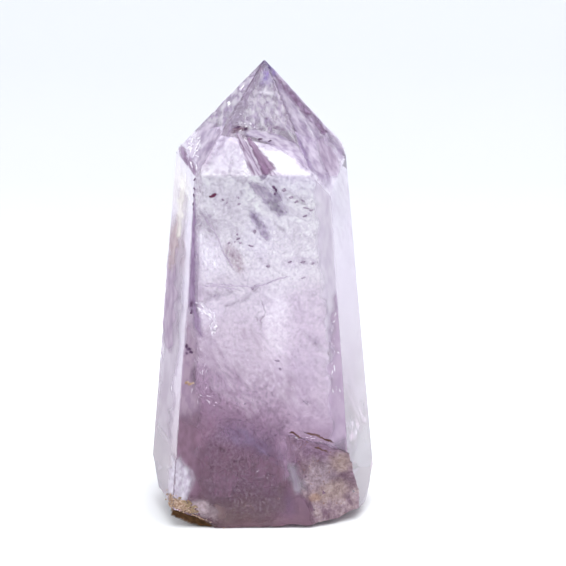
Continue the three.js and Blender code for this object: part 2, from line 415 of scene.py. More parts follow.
# %% List the colour patches of the front
FRONT_PATCHES = [
    ("left haze", (-11.3, -15, 60.6), (3.6, 1.7), 14, (150, 128, 155), 0.6),
    ("feather haze", (2.6, -15, 64.2), (4.6, 2.6), 48, (165, 150, 180), 0.55),
    ("lower feather haze", (-0.4, -15, 60), (3.2, 1.4), 55, (150, 134, 168), 0.5),
    ("pale triangle", (-10.4, -15, 54.2), (3.0, 4.6), -20, (252, 248, 255), 0.85),
    ("rosy haze", (-5.4, -15, 53.4), (1.5, 3.2), -25, (170, 132, 150), 0.6),
    ("white field", (-1.0, -15, 57.5), (3.4, 4.5), 0, (246, 244, 252), 0.6),
    ("mauve line", (8.2, -15, 52.6), (5.0, 1.0), 0, (176, 158, 182), 0.5),
    ("right mauve haze", (9.8, -15, 43.5), (5.5, 7.5), 0, (196, 180, 196), 0.65),
    ("left mauve", (-13.0, -15, 50), (1.2, 14), 0, (165, 140, 172), 0.45),
    ("jag snow", (-10.6, -15, 42.6), (2.2, 3.2), 30, (250, 246, 255), 0.6),
    ("middle column", (2.3, -15, 36.5), (3.0, 11), 4, (255, 250, 255), 0.9),
    ("right column", (8.2, -15, 38), (4.4, 10), 0, (216, 200, 218), 0.55),
    ("left lilac", (-11.5, -15, 30.5), (3.6, 8), 0, (172, 146, 174), 0.5),
    ("pale slope", (-5.0, -15, 27.5), (5.5, 3.0), 40, (212, 196, 216), 0.5),
    ("right foot of the slope", (10.5, -15, 25.5), (6.0, 6.5), 0, (214, 200, 213), 0.7),
    ("blue band", (-3.6, -15, 17.8), (5.6, 2.4), 10, (140, 118, 158), 0.6),
    ("violet left", (-12.4, -15, 15.6), (4.0, 5.0), 0, (160, 124, 158), 0.5),
    ("dark smudge", (-4.2, -15, 13.3), (2.6, 0.8), 0, (92, 62, 76), 0.7),
    ("left smudge", (-10.0, -15, 16.4), (1.4, 0.8), 20, (110, 82, 108), 0.5),
    ("smoke", (-5.4, -15, 6.6), (8.0, 5.4), 0, (124, 94, 102), 0.6),
    ("olive smoke", (-5.6, -15, 4.0), (4.4, 3.2), 0, (150, 118, 98), 0.65),
    ("violet heart", (3.4, -15, 6.6), (2.4, 5.0), -24, (124, 78, 132), 0.75),
    ("pale shelf", (-12.2, -15, 4.6), (3.2, 1.5), 24, (188, 168, 182), 0.7),
    ("right margin", (13.5, -15, 46), (1.5, 25), 0, (244, 238, 250), 0.8),
]
print(len(FRONT_PATCHES), "colour patches on the front")

# %% [markdown]
# The tip shows the back facets bent through its front: a clear lens with a mauve crown over it.
# The narrow side faces have a colour of their own, cream and rose at the upper left, and the back
# is kept plain. The windows are laid on last, since nothing dims them.

# %% List the colour patches of the tip, the sides and the back
TIP_PATCHES = [
    ("frosted left", (-6.6, -13, 72.6), (3.0, 3.2), 0, (226, 220, 236), 0.6),
    ("crown behind the lens", (1.6, -10, 76.6), (5.6, 1.5), 6, (150, 124, 164), 0.85),
    ("mauve right of the lens", (7.7, -10, 73.2), (4.8, 1.4), 52, (120, 92, 138), 0.95),
    ("mauve field", (1.5, -8, 81.5), (3.8, 4.0), 20, (214, 196, 222), 0.6),
    ("bright flank", (-4.6, -8, 80.5), (3.0, 2.4), -40, (236, 232, 244), 0.5),
    ("light band", (0.6, -5, 84.2), (3.4, 0.7), 0, (240, 232, 246), 0.7),
    ("dark line", (1.0, -5, 83.2), (3.4, 0.35), 0, (160, 138, 176), 0.6),
    ("mauve crown", (0.6, -3, 87), (2.6, 2.2), 0, (172, 150, 198), 0.7),
    ("violet apex", (0.5, -2, 88.9), (1.0, 1.1), 0, (128, 92, 190), 0.8),
    ("right shadow", (8.4, -6, 79.4), (1.2, 4.6), -42, (150, 134, 168), 0.6),
    ("green glimmer", (8.2, -6, 80.4), (0.8, 1.8), -42, (170, 182, 170), 0.4),
    ("right mauve", (12.4, -8, 70.6), (2.6, 4.0), 0, (140, 116, 154), 0.85),
    ("left strip", (-10.2, -10, 73.6), (4.6, 0.8), -60, (160, 126, 164), 0.7),
    ("left corner", (-15.8, -6, 72.4), (0.8, 1.2), 0, (140, 104, 140), 0.6),
]
SIDE_PATCHES = [
    ("cream top", (-16.6, -6, 65), (3.4, 5), 0, (255, 250, 244), 0.9),
    ("dusty rose", (-17.4, -6, 53.5), (3.4, 6.4), 0, (132, 96, 110), 0.9),
    ("mauve middle", (-18.4, -6, 42), (4.4, 11), 0, (104, 72, 112), 0.95),
    ("bluish foot", (-20.4, -6, 20), (3.6, 13), 0, (162, 147, 170), 0.8),
    ("bruised corner", (-18.2, -10, 9.5), (2.6, 3.4), 0, (236, 232, 242), 0.7),
    ("pale right foot", (20.2, -4, 13), (4.5, 19), 0, (250, 247, 252), 0.95),
    ("right shoulder", (15.6, -6, 64), (3, 7), 0, (200, 192, 212), 0.5),
]
BACK_PATCHES = [
    ("back milk", (4, 15, 48), (7, 13), 20, (236, 228, 240), 0.6),
    ("back mauve", (-7, 15, 60), (4, 6), -30, (170, 148, 178), 0.5),
    ("back lilac", (6, 15, 24), (7, 6), 10, (160, 132, 164), 0.5),
    ("back smoke", (-6, 15, 6), (8, 6), 0, (126, 98, 104), 0.6),
]
WINDOWS = [
    ("clear lens", (3.2, -13, 71.9), (3.6, 2.0), 26, (255, 255, 255), 0.95),
    ("clear corner", (7.0, -13, 70.4), (2.0, 0.9), 20, (252, 250, 255), 0.9),
]
for patches in (TIP_PATCHES, SIDE_PATCHES, BACK_PATCHES, WINDOWS):
    print("colour patches:", [name for name, *_ in patches])

# %% [markdown]
# ## Colour zones
# From the foot up the stone goes from smoke over violet and lilac to nearly white. The zones
# belong to the crystal, so they are worked out from the height in it. They climb to the right and
# wander a little, as growth zones do. The narrow side faces show a shorter way through the stone
# and are paler, so they have zones of their own.

# %% List the colour zones and blend them
ZONE_TOP = 90
ZONE_LEAN = 0.4
ZONE_WANDER = 9
DRIFT_SCALE = 70.0  # noise scales are per metre: this one makes swells of about 14 mm
ZONES = [
    (0, screen(150, 108, 116)), (12, screen(150, 110, 134)), (20, screen(164, 134, 160)),
    (28, screen(206, 192, 204)), (38, screen(216, 206, 216)), (50, screen(230, 228, 230)),
    (66, screen(248, 252, 246)), (71, screen(246, 246, 250)), (78, screen(238, 220, 247)),
    (90, screen(228, 204, 242)),
]
SIDE_ZONES = [
    (0, screen(196, 184, 196)), (20, screen(216, 208, 220)), (40, screen(226, 218, 234)),
    (66, screen(240, 234, 248)), (90, screen(244, 236, 250)),
]
SIDES_START = 16.9
SIDES_FULL = 17.5
SIDES_TAPER = 0.06


def zone_height(tree, x, z, place):
    """Height in the colour zones as a share: it rises to the right and wanders with a noise."""
    lean = calc(tree, "MULTIPLY", x, ZONE_LEAN / (ZONE_TOP * MM))
    straight = calc(tree, "MULTIPLY_ADD", z, 1 / (ZONE_TOP * MM), lean)
    drift = cloud(tree, place, DRIFT_SCALE, 0.0, 1.0, detail=3.0, twist=0.6)
    centred = calc(tree, "SUBTRACT", drift.outputs["Height"], 0.5)
    return calc(tree, "MULTIPLY_ADD", centred, 2 * ZONE_WANDER / ZONE_TOP, straight)


def side_share(tree, x, z):
    """1 on the narrow faces at the left and right and 0 between them."""
    spread = calc(tree, "MULTIPLY_ADD", z, SIDES_TAPER, calc(tree, "ABSOLUTE", x))
    return levels(tree, spread, SIDES_START * MM, SIDES_FULL * MM)


print(len(ZONES), "zones in the middle and", len(SIDE_ZONES), "on the sides")

# %% [markdown]
# ## Mottling
# Many fine healed cracks give the clear stone a crumpled look, most of all near the tip. It is
# made by two noises, one coarse and stretched along the cracks' dip, one fine, which darken the
# colour by multiplying it: that keeps the pale colours pale and only adds greyish veins.

# %% Mottle a colour
MOTTLE_STRENGTHS = [(10, 0.6), (28, 0.4), (46, 0.4), (58, 0.6), (73, 0.75)]
MOTTLE_TINTS = [(0.0, screen(176, 158, 182)), (0.5, screen(236, 230, 240)), (0.9, (1, 1, 1, 1))]
MOTTLE_DIP = math.radians(38)
MOTTLE_STRETCH = (1.7, 1.0, 0.8)
COARSE_SCALE = 260.0
FINE_SCALE = 1500.0


def mottled(tree, place, colour, z):
    """Crumples a colour with a coarse and a fine noise, more strongly towards the tip."""
    dipping = add(tree, "ShaderNodeMapping", {
        "Vector": place, "Rotation": (0, MOTTLE_DIP, 0), "Scale": MOTTLE_STRETCH,
    }, vector_type="TEXTURE")
    coarse = cloud(tree, dipping.outputs["Vector"], COARSE_SCALE, 0.25, 0.75, 12.0, twist=1.4)
    fine = cloud(tree, place, FINE_SCALE, 0.3, 0.7, detail=6.0, twist=0.6)
    strengths = [(mm, (s, s, s, 1)) for mm, s in MOTTLE_STRENGTHS]
    share = ramp_up(tree, z, ZONE_TOP, strengths)
    for noise_node in (coarse, fine):
        tints = ramp(tree, noise_node.outputs["Mask"], MOTTLE_TINTS)
        colour = blend_colours(tree, share, colour, tints, "MULTIPLY")
    return colour


print("mottling in two sizes,", [round(1000 / s, 1) for s in (COARSE_SCALE, FINE_SCALE)], "mm")

# %% [markdown]
# ## The quartz itself
# The colour is put together in the order in which the stone grew and was worked: zones first,
# patches over them, the mottling of the cracks, and last the windows, which nothing dims. The
# narrow side faces get their own zones and patches, and no mottling.

# %% Put the stone's colour together
PATCH_PUSH_SCALE = 260.0
PATCH_PUSH = 0.9


def quartz_colour(tree, place):
    """The stone's colour at every place in it."""
    axes = add(tree, "ShaderNodeSeparateXYZ", {0: place})
    x, z = axes.outputs["X"], axes.outputs["Z"]
    core = ramp(tree, zone_height(tree, x, z, place), [(mm / ZONE_TOP, tint) for mm, tint in ZONES])
    sides = ramp_up(tree, z, ZONE_TOP, SIDE_ZONES)
    wandering = pushed(tree, place, PATCH_PUSH_SCALE, PATCH_PUSH)
    middle = laid_over(tree, wandering, core, FRONT_PATCHES + TIP_PATCHES + BACK_PATCHES)
    narrow = laid_over(tree, wandering, sides, SIDE_PATCHES)
    whole = blend_colours(tree, side_share(tree, x, z), mottled(tree, place, middle, z), narrow)
    return laid_over(tree, wandering, whole, WINDOWS)


print("borders of patches wander by about", PATCH_PUSH, "mm")

# %% [markdown]
# Clear stone needs only a transmission share, quartz's refractive index and an absorption in its
# volume, all plain values. The polish is a little worn in places, and a faint swell keeps the
# faces from being perfect mirrors.

# %% Make the quartz
IOR = 1.545
CLEAR_SHARE = 0.8
VIOLET = (0.66, 0.5, 0.7, 1)
VIOLET_DENSITY = 5
POLISH = 0.03
WORN_POLISH = 3 * POLISH
HANDLING_SCALE = 120.0
SWELL_SCALE = 160.0
SWELL_STRENGTH = 0.15
SWELL_HEIGHT = 0.2 * MM


def make_quartz():
    """The see-through quartz of the whole stone."""
    material, tree, shader = new_material("amethyst_quartz", {
        "IOR": IOR, "Transmission Weight": CLEAR_SHARE,
    })
    place = object_place(tree)
    handled = cloud(tree, place, HANDLING_SCALE, 0.45, 0.75, detail=5.0).outputs["Mask"]
    swell = cloud(tree, place, SWELL_SCALE, 0.0, 1.0, detail=2.0).outputs["Height"]
    bump = add(tree, "ShaderNodeBump", {
        "Height": swell, "Strength": SWELL_STRENGTH, "Distance": SWELL_HEIGHT,
    })
    wire(tree, shader, {
        "Base Color": quartz_colour(tree, place),
        "Roughness": levels(tree, handled, 0.0, 1.0, POLISH, WORN_POLISH),
        "Normal": bump.outputs["Normal"],
    })
    absorption = add(tree, "ShaderNodeVolumeAbsorption", {
        "Color": VIOLET, "Density": VIOLET_DENSITY,
    })
    wire(tree, tree.nodes["Material Output"], {"Volume": absorption.outputs["Volume"]})
    return material


stone.data.materials[0] = make_quartz()
print("quartz on", stone.name, "with", len(stone.data.materials[0].node_tree.nodes), "nodes")

# %% [markdown]
# ## Placing things inside the stone
# What lies inside is seen through a polished face, and the quartz bends the line of sight. Each
# thing is therefore placed by where it shows on its face, in x and z millimetres, and by how deep
# it lies along the bent line of sight. The faces are measured on the stone itself, so that the
# inside stays with it: each is the largest face that looks a given way, which is written as a
# compass turn and a lean in degrees.

# %% Measure the polished faces
FACE_LOOKS = {
    "front": (-90, 4.5), "left": (-161.8, 5.4), "right": (-17.9, 5.2),
    "back_right": (21, 5), "back": (88.3, 5), "back_left": (158, 4),
    "tip_front": (-90.2, 34.5), "tip_left": (-153, 40.7), "tip_right": (-36.5, 37.2),
    "tip_back_right": (44.4, 32.5), "tip_back": (82.6, 29.5), "tip_back_left": (149.6, 40.6),
}
SAME_WAY = 0.9995


def polished_face(compass, lean):
    """Normal and distance of the stone's largest face that looks this way."""
    turn, rise = math.radians(compass), math.radians(lean)
    way = Vector((math.cos(turn) * math.cos(rise), math.sin(turn) * math.cos(rise), math.sin(rise)))
    candidates = [face for face in stone.data.polygons if face.normal.dot(way) > SAME_WAY]
    largest = max(candidates, key=lambda face: face.area)
    return largest.normal.copy(), largest.normal.dot(largest.center)


def worn_ridge(one, two):
    """Normal and distance of the narrow flat that wear has left between two faces."""
    normal = (faces[one][0] + faces[two][0]).normalized()
    return normal, max(normal.dot(vertex.co) for vertex in stone.data.vertices)


faces = {name: polished_face(*look) for name, look in FACE_LOOKS.items()}
faces["ridge_left"] = worn_ridge("tip_front", "tip_left")
faces["ridge_right"] = worn_ridge("tip_front", "tip_right")
for name, (normal, distance) in faces.items():
    print(f"{name}: {distance / MM:.2f} mm from the origin")

# %% [markdown]
# At the polish a line of sight is bent towards the inside by the law of refraction, and a thing
# behind the face is found by following it. Faces meet at slants, so a thing that lies behind one
# could stick out of the next: `room_inside` tells how much stone is left round a point.

# %% Find places behind a face
def behind(face, x, z, depth):
    """The point that shows at x, z on a face and lies depth behind it, all in millimetres."""
    normal, distance = faces[face]
    y = (distance - (normal.x * x + normal.z * z) * MM) / normal.y
    entry = Vector((x * MM, y, z * MM))
    sight = (entry - camera.location).normalized()
    ratio = 1 / IOR
    facing = -sight.dot(normal)
    bent = ratio * sight + (ratio * facing - math.sqrt(1 - ratio**2 * (1 - facing**2))) * normal
    return entry + bent * depth * MM


def room_behind(point, face):
    """How far a point lies behind one polished face, in millimetres."""
    normal, distance = faces[face]
    return (distance - normal.dot(point)) / MM


def room_inside(point, own_face):
    """How far a point lies over the foot and inside all faces but its own, in millimetres."""
    sides = min(room_behind(point, face) for face in faces if face != own_face)
    return min(sides, point.z / MM)


def smooth(value, start, end):
    """0 before start, 1 after end, and an even turn between."""
    share = min(max((value - start) / (end - start), 0), 1)
    return share * share * (3 - 2 * share)


def place_piece(name, mesh, finish):
    """Links a mesh as a piece of the stone with its finish."""
    mesh.materials.append(finish)
    piece = bpy.data.objects.new(name, mesh)
    scene.collection.objects.link(piece)
    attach(piece, "root")
    return piece


middle = behind("front", 0, 40, 10)
print("10 mm behind the front face:", [round(c / MM, 1) for c in middle])

# %% [markdown]
# ## Finishes of the veils and feathers
# A veil is a healed crack: thousands of tiny bubbles in one thin curved layer, which scatter
# light. It is made as a thin sheet whose alpha is patchy. Each sheet carries its own density,
# full in the middle and nothing at its frayed border, and UV in millimetres, so the streaks run
# along the feather whichever way it lies. Its two colours are given as they look on a screen.

# %% Make a finish for a veil
THIN_IOR = 1.1
VEIL_ROUGHNESS = 0.5
TONE_SCALE = 1.7  # the two tones change in smaller patches than the cover does

finishes = {}


def add_veil_finish(name, colour, other, scale, stretch, clear_below, full_above, strength,
                    detail, twist, clear=0.0):
    """A patchy thin layer: two colours, streaks this many times longer than wide, and strength."""
    material, tree, shader = new_material(name, {
        "Transmission Weight": clear, "Roughness": VEIL_ROUGHNESS, "IOR": THIN_IOR,
    })
    streaks = add(tree, "ShaderNodeMapping", {
        "Vector": add(tree, "ShaderNodeUVMap").outputs["UV"], "Scale": (1, 1 / stretch, 1),
    }).outputs["Vector"]
    patches = cloud(tree, streaks, scale, clear_below, full_above, detail, twist)
    tones = cloud(tree, streaks, scale * TONE_SCALE, 0.35, 0.65, detail)
    density = add(tree, "ShaderNodeAttribute", attribute_name="veil_cover").outputs["Fac"]
    cover = calc(tree, "MULTIPLY", patches.outputs["Mask"], density)
    wire(tree, shader, {
        "Base Color": blend_colours(tree, tones.outputs["Mask"], screen(*colour), screen(*other)),
        "Alpha": calc(tree, "MULTIPLY", cover, strength),
    })
    finishes[name] = material


print("thin layers get IOR", THIN_IOR)

# %% [markdown]
# A finish has a name, two colours, the scale and the stretch of its streaks, the two levels of the
# cloud and its strength. The veils deep in the stone are crumpled. The last number is how clear a
# finish is: light still falls through the dark feather and the smoky smudges.

# %% Make the finishes of the deep veils
DEEP_TWIST = 0.8
DEEP_DETAIL = 4.0
DEEP_FINISHES = [
    ("plum_feather", (134, 104, 148), (88, 62, 108), 1.0, 4, 0.05, 0.5, 0.95, 0.85),
    ("ash_veil", (166, 152, 178), (150, 96, 172), 0.8, 2.5, 0.3, 0.7, 0.65, 0.0),
    ("white_crack", (250, 248, 253), (246, 238, 226), 0.9, 2, 0.25, 0.45, 0.95, 0.0),
    ("rose_veil", (190, 140, 160), (150, 96, 172), 0.7, 3, 0.3, 0.7, 0.75, 0.0),
    ("smoke", (84, 54, 66), (70, 44, 42), 0.6, 2, 0.1, 0.55, 0.9, 0.85),
    ("deep_smoke", (176, 130, 150), (160, 128, 112), 0.16, 1.2, 0.1, 0.7, 0.6, 0.0),
]
for *row, clear in DEEP_FINISHES:
    add_veil_finish(*row, DEEP_DETAIL, DEEP_TWIST, clear)
print(len(finishes), "finishes for what lies deep inside")

# %% [markdown]
# Where a healed crack runs out at the polish it is seen plainly, so these finishes are many: frost
# and lace, skins of one tone, wide hazes and clouds, and dark or pale lines. The last number of
# each is how finely its patches are crumpled.

# %% Make the finishes of what lies at the polish
FACE_TWIST = 0.3
FACE_FINISHES = [
    ("frost", (232, 228, 236), (172, 156, 184), 0.6, 1.6, 0.15, 0.85, 0.8, 9),
    ("wisps", (236, 232, 240), (162, 144, 174), 0.9, 5, 0.3, 0.8, 0.7, 9),
    ("mauve_frost", (150, 134, 160), (206, 196, 212), 0.6, 3, 0.0, 0.7, 0.8, 9),
    ("mauve_skin", (150, 132, 156), (188, 174, 194), 0.8, 4, 0.0, 0.5, 0.8, 9),
    ("plum_skin", (110, 84, 112), (152, 130, 158), 0.9, 2, 0.2, 0.6, 0.85, 6),
    ("hair_skin", (196, 184, 202), (112, 86, 114), 1.3, 9, 0.1, 0.5, 0.8, 6),
    ("thin_white", (246, 244, 250), (222, 214, 230), 1.0, 2, 0.2, 0.7, 0.55, 9),
    ("rim_frost", (206, 196, 212), (156, 140, 168), 0.8, 3, 0.0, 0.5, 0.8, 9),
    ("violet_skin", (134, 112, 184), (182, 168, 208), 0.9, 1.5, 0.2, 0.7, 0.6, 6),
    ("eye_skin", (84, 58, 72), (146, 120, 138), 1.3, 2, 0.3, 0.6, 0.9, 6),
    ("lace", (250, 250, 250), (220, 214, 224), 1.6, 1.3, 0.3, 0.9, 0.45, 9),
    ("left_violet", (162, 142, 159), (146, 124, 146), 0.5, 2, -0.5, 0.3, 0.9, 3),
    ("foot_violet", (134, 106, 126), (120, 94, 110), 0.5, 2, -0.5, 0.3, 0.9, 3),
    ("right_lilac", (178, 160, 181), (168, 149, 172), 0.4, 2, -0.5, 0.3, 0.9, 2),
    ("right_haze", (200, 193, 205), (186, 176, 193), 0.5, 4, -0.5, 0.3, 0.85, 5),
    ("violet_cloud", (148, 125, 150), (128, 105, 128), 0.4, 1.6, -0.2, 0.6, 0.7, 6),
    ("smoke_cloud", (128, 99, 119), (110, 87, 100), 0.4, 1.4, -0.2, 0.6, 0.85, 6),
    ("olive_cloud", (128, 108, 110), (112, 91, 98), 0.4, 1.4, -0.2, 0.6, 0.85, 6),
    ("sugar", (238, 232, 242), (120, 98, 122), 1.5, 1.4, 0.4, 0.75, 0.22, 5),
    ("sugar_smoke", (152, 128, 150), (98, 74, 94), 1.3, 1.4, 0.25, 0.75, 0.42, 4),
    ("white_line", (250, 246, 252), (206, 196, 214), 1.4, 2, 0.3, 0.7, 0.9, 6),
    ("split_haze", (158, 134, 156), (138, 112, 136), 0.6, 2, -0.3, 0.5, 0.8, 7),
    ("left_band", (146, 124, 154), (122, 98, 130), 0.9, 4, -0.3, 0.4, 0.75, 6),
    ("ridge_haze", (184, 172, 192), (146, 130, 156), 0.9, 1.6, 0.1, 0.8, 0.7, 9),
    ("hair_mist", (142, 114, 142), (112, 86, 112), 1.2, 9, -0.1, 0.5, 0.85, 6),
    ("soft_wisps", (212, 198, 212), (156, 134, 155), 0.6, 3.5, 0.2, 0.8, 0.55, 6),
    ("blue_wisps", (150, 132, 168), (118, 88, 116), 0.5, 3, 0.25, 0.75, 0.55, 6),
    ("face_haze", (180, 170, 182), (196, 188, 198), 0.4, 5, -0.5, 0.4, 0.6, 2),
    ("grey_line", (156, 142, 164), (180, 166, 186), 0.9, 4, 0.0, 0.4, 0.7, 5),
    ("brown_line", (72, 48, 44), (104, 80, 74), 0.9, 4, 0.0, 0.3, 0.95, 3),
    ("face_mauve", (158, 138, 162), (190, 174, 192), 0.6, 5, -0.3, 0.6, 0.75, 6),
    ("face_rose", (184, 162, 168), (214, 198, 198), 0.6, 5, -0.2, 0.8, 0.7, 6),
    ("face_cream", (250, 246, 236), (240, 234, 230), 0.6, 6, -0.2, 0.8, 0.6, 6),
    ("bruise", (218, 212, 224), (190, 178, 196), 0.8, 1.8, -0.2, 0.7, 0.85, 6),
    ("shelf_haze", (186, 170, 177), (164, 146, 153), 0.8, 1.2, -0.2, 0.7, 0.85, 6),
    ("crust", (182, 160, 142), (138, 110, 88), 1.6, 1, -0.2, 0.5, 0.9, 9),
    ("finger_grey", (154, 147, 158), (142, 128, 146), 0.6, 3, -0.4, 0.5, 0.75, 4),
    # the dark brown finish below is a painted shadow under the raised rim, with a little of its
    # stained underside
    ("undercut", (66, 46, 30), (92, 66, 44), 0.9, 2, -0.6, 0.2, 1.0, 4),
]
for row in FACE_FINISHES:
    add_veil_finish(*row, FACE_TWIST)
print(len(FACE_FINISHES), "finishes for what lies at the polish")

# %% [markdown]
# ## Feathers and veils
# A feather runs from a start to an end, and its width changes on the way. The sheet is a grid
# that follows this outline at its depth, with a slow swell, as a crack in quartz has. Faces whose
# density has faded to nothing are left out, so the mesh itself has the frayed outline.

# %% Turn points into a sheet
def sheet_mesh(name, points, densities, lengths, width, finish):
    """Turns rows of points into a sheet without its faded faces, and places it."""
    quads = []
    for index in range(len(points) - width):
        if (index + 1) % width:
            quad = (index, index + 1, index + width + 1, index + width)
            if max(densities[corner] for corner in quad) > 0:
                quads.append(quad)
    used = sorted({corner for quad in quads for corner in quad})
    renumbered = {old: new for new, old in enumerate(used)}
    mesh = bpy.data.meshes.new(name)
    mesh.from_pydata([points[i] for i in used], [], [[renumbered[c] for c in q] for q in quads])
    density = mesh.attributes.new("veil_cover", "FLOAT", "POINT")
    density.data.foreach_set("value", [densities[i] for i in used])
    uv = mesh.uv_layers.new(name="UVMap")
    for loop in mesh.loops:
        uv.data[loop.index].uv = lengths[used[loop.vertex_index]]
    for polygon in mesh.polygons:
        polygon.use_smooth = True
    print(name, len(mesh.polygons), "faces")
    return place_piece(name, mesh, finishes[finish])


print("sheets take one of", len(finishes), "finishes")

# %% [markdown]
# A veil's border is frayed twice: its cover fades over a short way, and a noise eats into it. The
# fray says how wide that is, from a sharp skin to a cloud without an outline. An open end isn't
# faded, where a feather stops at an edge of the stone as if cut off.

# %% Build a veil
VEIL_CELL = 0.3
FEWEST_ROWS = 8
FEWEST_COLUMNS = 6
RIPPLE_SCALE = 0.45
TATTER_SCALE = 0.8
TATTER_SHIFT = 9
RAGGEDNESS = 0.7
END_SOFTNESS = 1.8
EDGE_OVERHANG = 0.12
BORDER_SOFTNESS = 0.45


def veil(face, name, start, end, widths, depths, finish, bow=0.0, fray=1.0, open_end=False,
         swell=0.4):
    """A thin sheet from start to end (x, z in mm on the face) with three widths and two depths."""
    first, last = Vector(start), Vector(end)
    run = last - first
    side = Vector((-run.y, run.x)).normalized()
    rows = max(FEWEST_ROWS, round(run.length / VEIL_CELL))
    columns = max(FEWEST_COLUMNS, round(max(widths) / VEIL_CELL))
    origin = Vector((first.x, first.y, len(name)))
    points, densities, lengths = [], [], []
    for row in range(rows + 1):
        along = row / rows
        part = along * 2 if along < 0.5 else along * 2 - 1
        one, two = widths[:2] if along < 0.5 else widths[1:]
        half = (one + (two - one) * part) / 2
        to_end = fray * END_SOFTNESS if open_end else (1 - along) * run.length
        ends = min(along * run.length, to_end) / END_SOFTNESS
        for column in range(columns + 1):
            across = column / columns * 2 - 1
            spot = Vector((across * half, along * run.length, 0))
            other_spot = spot + Vector((0, 0, TATTER_SHIFT))
            ripple = noise.noise(origin + spot * RIPPLE_SCALE)
            tatter = noise.noise(origin + other_spot * TATTER_SCALE / fray)
            bend = bow * 4 * along * (1 - along)  # a parabola as high as the bow
            flat = first + run * along + side * (across * half + bend)
            depth = depths[0] + (depths[1] - depths[0]) * along + swell * ripple
            point = behind(face, flat.x, flat.y, depth)
            inset = min((1 - abs(across)) * half, ends)
            kept = smooth(room_inside(point, face), -EDGE_OVERHANG, 0)
            ragged = smooth(inset + RAGGEDNESS * fray * tatter, 0, fray)
            points.append(point)
            densities.append(ragged * smooth(inset, 0, BORDER_SOFTNESS * fray) * kept)
            lengths.append(spot[:2])
    return sheet_mesh(name, points, densities, lengths, columns + 1, finish)


print("veils have cells of", VEIL_CELL, "mm")

# %% [markdown]
# The front shows two dark feathers, one over the other, greyish veils round them, and smudges
# lower down. Each row gives the start, the end, three widths, two depths, the finish and the bow.

# %% Place the feathers and veils of the front
FRONT_VEILS = [
    ("feather_upper", (-2.8, 68.6), (4.4, 61.0), (1.6, 3.8, 2.6), (2.5, 4), "plum_feather", 0.3),
    ("feather_branch", (2.2, 67.6), (3.4, 63.2), (1.2, 2.0, 1.6), (2.2, 3.4), "plum_feather", 0),
    ("feather_fringe", (4.2, 66.8), (9.6, 62.4), (1.8, 2.0, 0.9), (2.4, 3), "ash_veil", 0.2),
    ("feather_lower", (-2.8, 63.6), (1.6, 56.6), (1.3, 3.0, 1.8), (2, 3), "plum_feather", -0.2),
    ("feather_core", (-2.0, 61.8), (0.9, 57.6), (0.9, 1.8, 1.3), (0.3, 0.3), "plum_feather", -0.1),
    ("feather_heart", (0.4, 65.2), (4.0, 61.4), (1.2, 2.4, 1.6), (0.3, 0.3), "plum_feather", 0.1),
    ("feather_side", (2.4, 61.2), (4.2, 57.4), (1.6, 2.4, 1.4), (3, 3.5), "ash_veil", 0),
    ("rosy_feather", (-6.8, 56.2), (-4.0, 50.2), (2.0, 4.0, 1.8), (0.6, 0.8), "rose_veil", 0),
    ("grey_smudge", (-5.9, 66.4), (-5.9, 62.9), (1.0, 1.5, 1.0), (1.5, 1.5), "ash_veil", 0),
    ("fish_veil", (-12.6, 44.2), (-4.8, 46.9), (1.8, 2.8, 1.4), (2, 3), "ash_veil", 0.8),
    ("fish_tail", (-9.0, 43.8), (0.2, 49.0), (1.3, 1.9, 1.1), (3, 4), "ash_veil", -1.0),
    ("lilac_fold", (5.0, 21.5), (-3.5, 14.5), (2, 4, 2), (6, 6), "ash_veil", 0.6),
    ("right_smudge", (7.4, 39.6), (12.4, 34.8), (1.2, 2.4, 1.4), (4, 4), "ash_veil", 0),
    ("low_smudge", (6.6, 25.7), (10.0, 24.9), (0.8, 1.2, 0.8), (1.5, 1.5), "ash_veil", 0.1),
    ("dark_smudge", (-7.0, 13.2), (-1.6, 14.1), (0.9, 1.7, 0.9), (2, 2), "smoke", 0),
    ("left_smudge", (-10.1, 16.9), (-6.8, 15.2), (1.0, 1.8, 1.0), (2, 2), "smoke", 0),
]
for row in FRONT_VEILS:
    veil("front", *row)

# %% [markdown]
# The foot is smoky, which is one wide soft veil some way in. Just behind the broken rim at the left,
# where the rim is undercut and little light comes in from below, a dark brown sheet is a painted
# shadow under the raised corner, with a little of its stained underside.

# %% Place the smoke and the painted shadow under the rim
SMOKE_FRAY = 5.0
UNDERCUT_SHADOW_FRAY = 0.4

veil("front", "smoke_veil", (-6.0, 16.0), (-6.0, 0.8), (18, 23, 23), (3.5, 4.5), "deep_smoke",
     fray=SMOKE_FRAY, open_end=True)
# a painted shadow: a dark brown sheet under the raised left corner
veil("front", "undercut", (-19.0, 3.6), (-8.6, 0.0), (1.6, 2.6, 1.0), (0.9, 0.9), "undercut",
     fray=UNDERCUT_SHADOW_FRAY, swell=0.0)

# %% [markdown]
# ## Feathers of the tip
# A dark hairy feather falls from the left edge of the front tip facet to its lower edge, beside a
# clear window. It ends there as if cut off, because the face below bends the view another way and
# shows it again as the feathers of the front.

# %% Place the feathers of the tip
TIP_FRAY = 0.5
TIP_VEILS = [
    ("hair_core", (-5.2, 76.2), (0.9, 69.5), (0.7, 1.6, 3.2), (0.6, 1.3), "plum_feather",
     -0.3, True),
    ("frosted_streaks", (-6.4, 75.8), (-6.0, 69.5), (0.9, 2.8, 3.6), (1.2, 1.5), "ash_veil",
     0.2, True),
    ("tip_fold", (-2.4, 77.2), (5.2, 74.6), (0.7, 1.2, 0.7), (1, 1.4), "ash_veil", 0.4, False),
]
for *row, open_end in TIP_VEILS:
    veil("tip_front", *row, TIP_FRAY, open_end)

# %% [markdown]
# ## Frost
# Healed cracks run out at the polish itself and leave frost, hazes and stains there. They could be
# mixed into the quartz's own colour, but only a layer of its own dims the clear stone behind it.
# Each is a veil a few hundredths of a millimetre over its face, and each next one lies a little
# higher, so that two of them never fight for one place.

# %% Lay veils on their faces
FROST_LIFT = 0.02
FROST_STEP = 0.004

laid = []


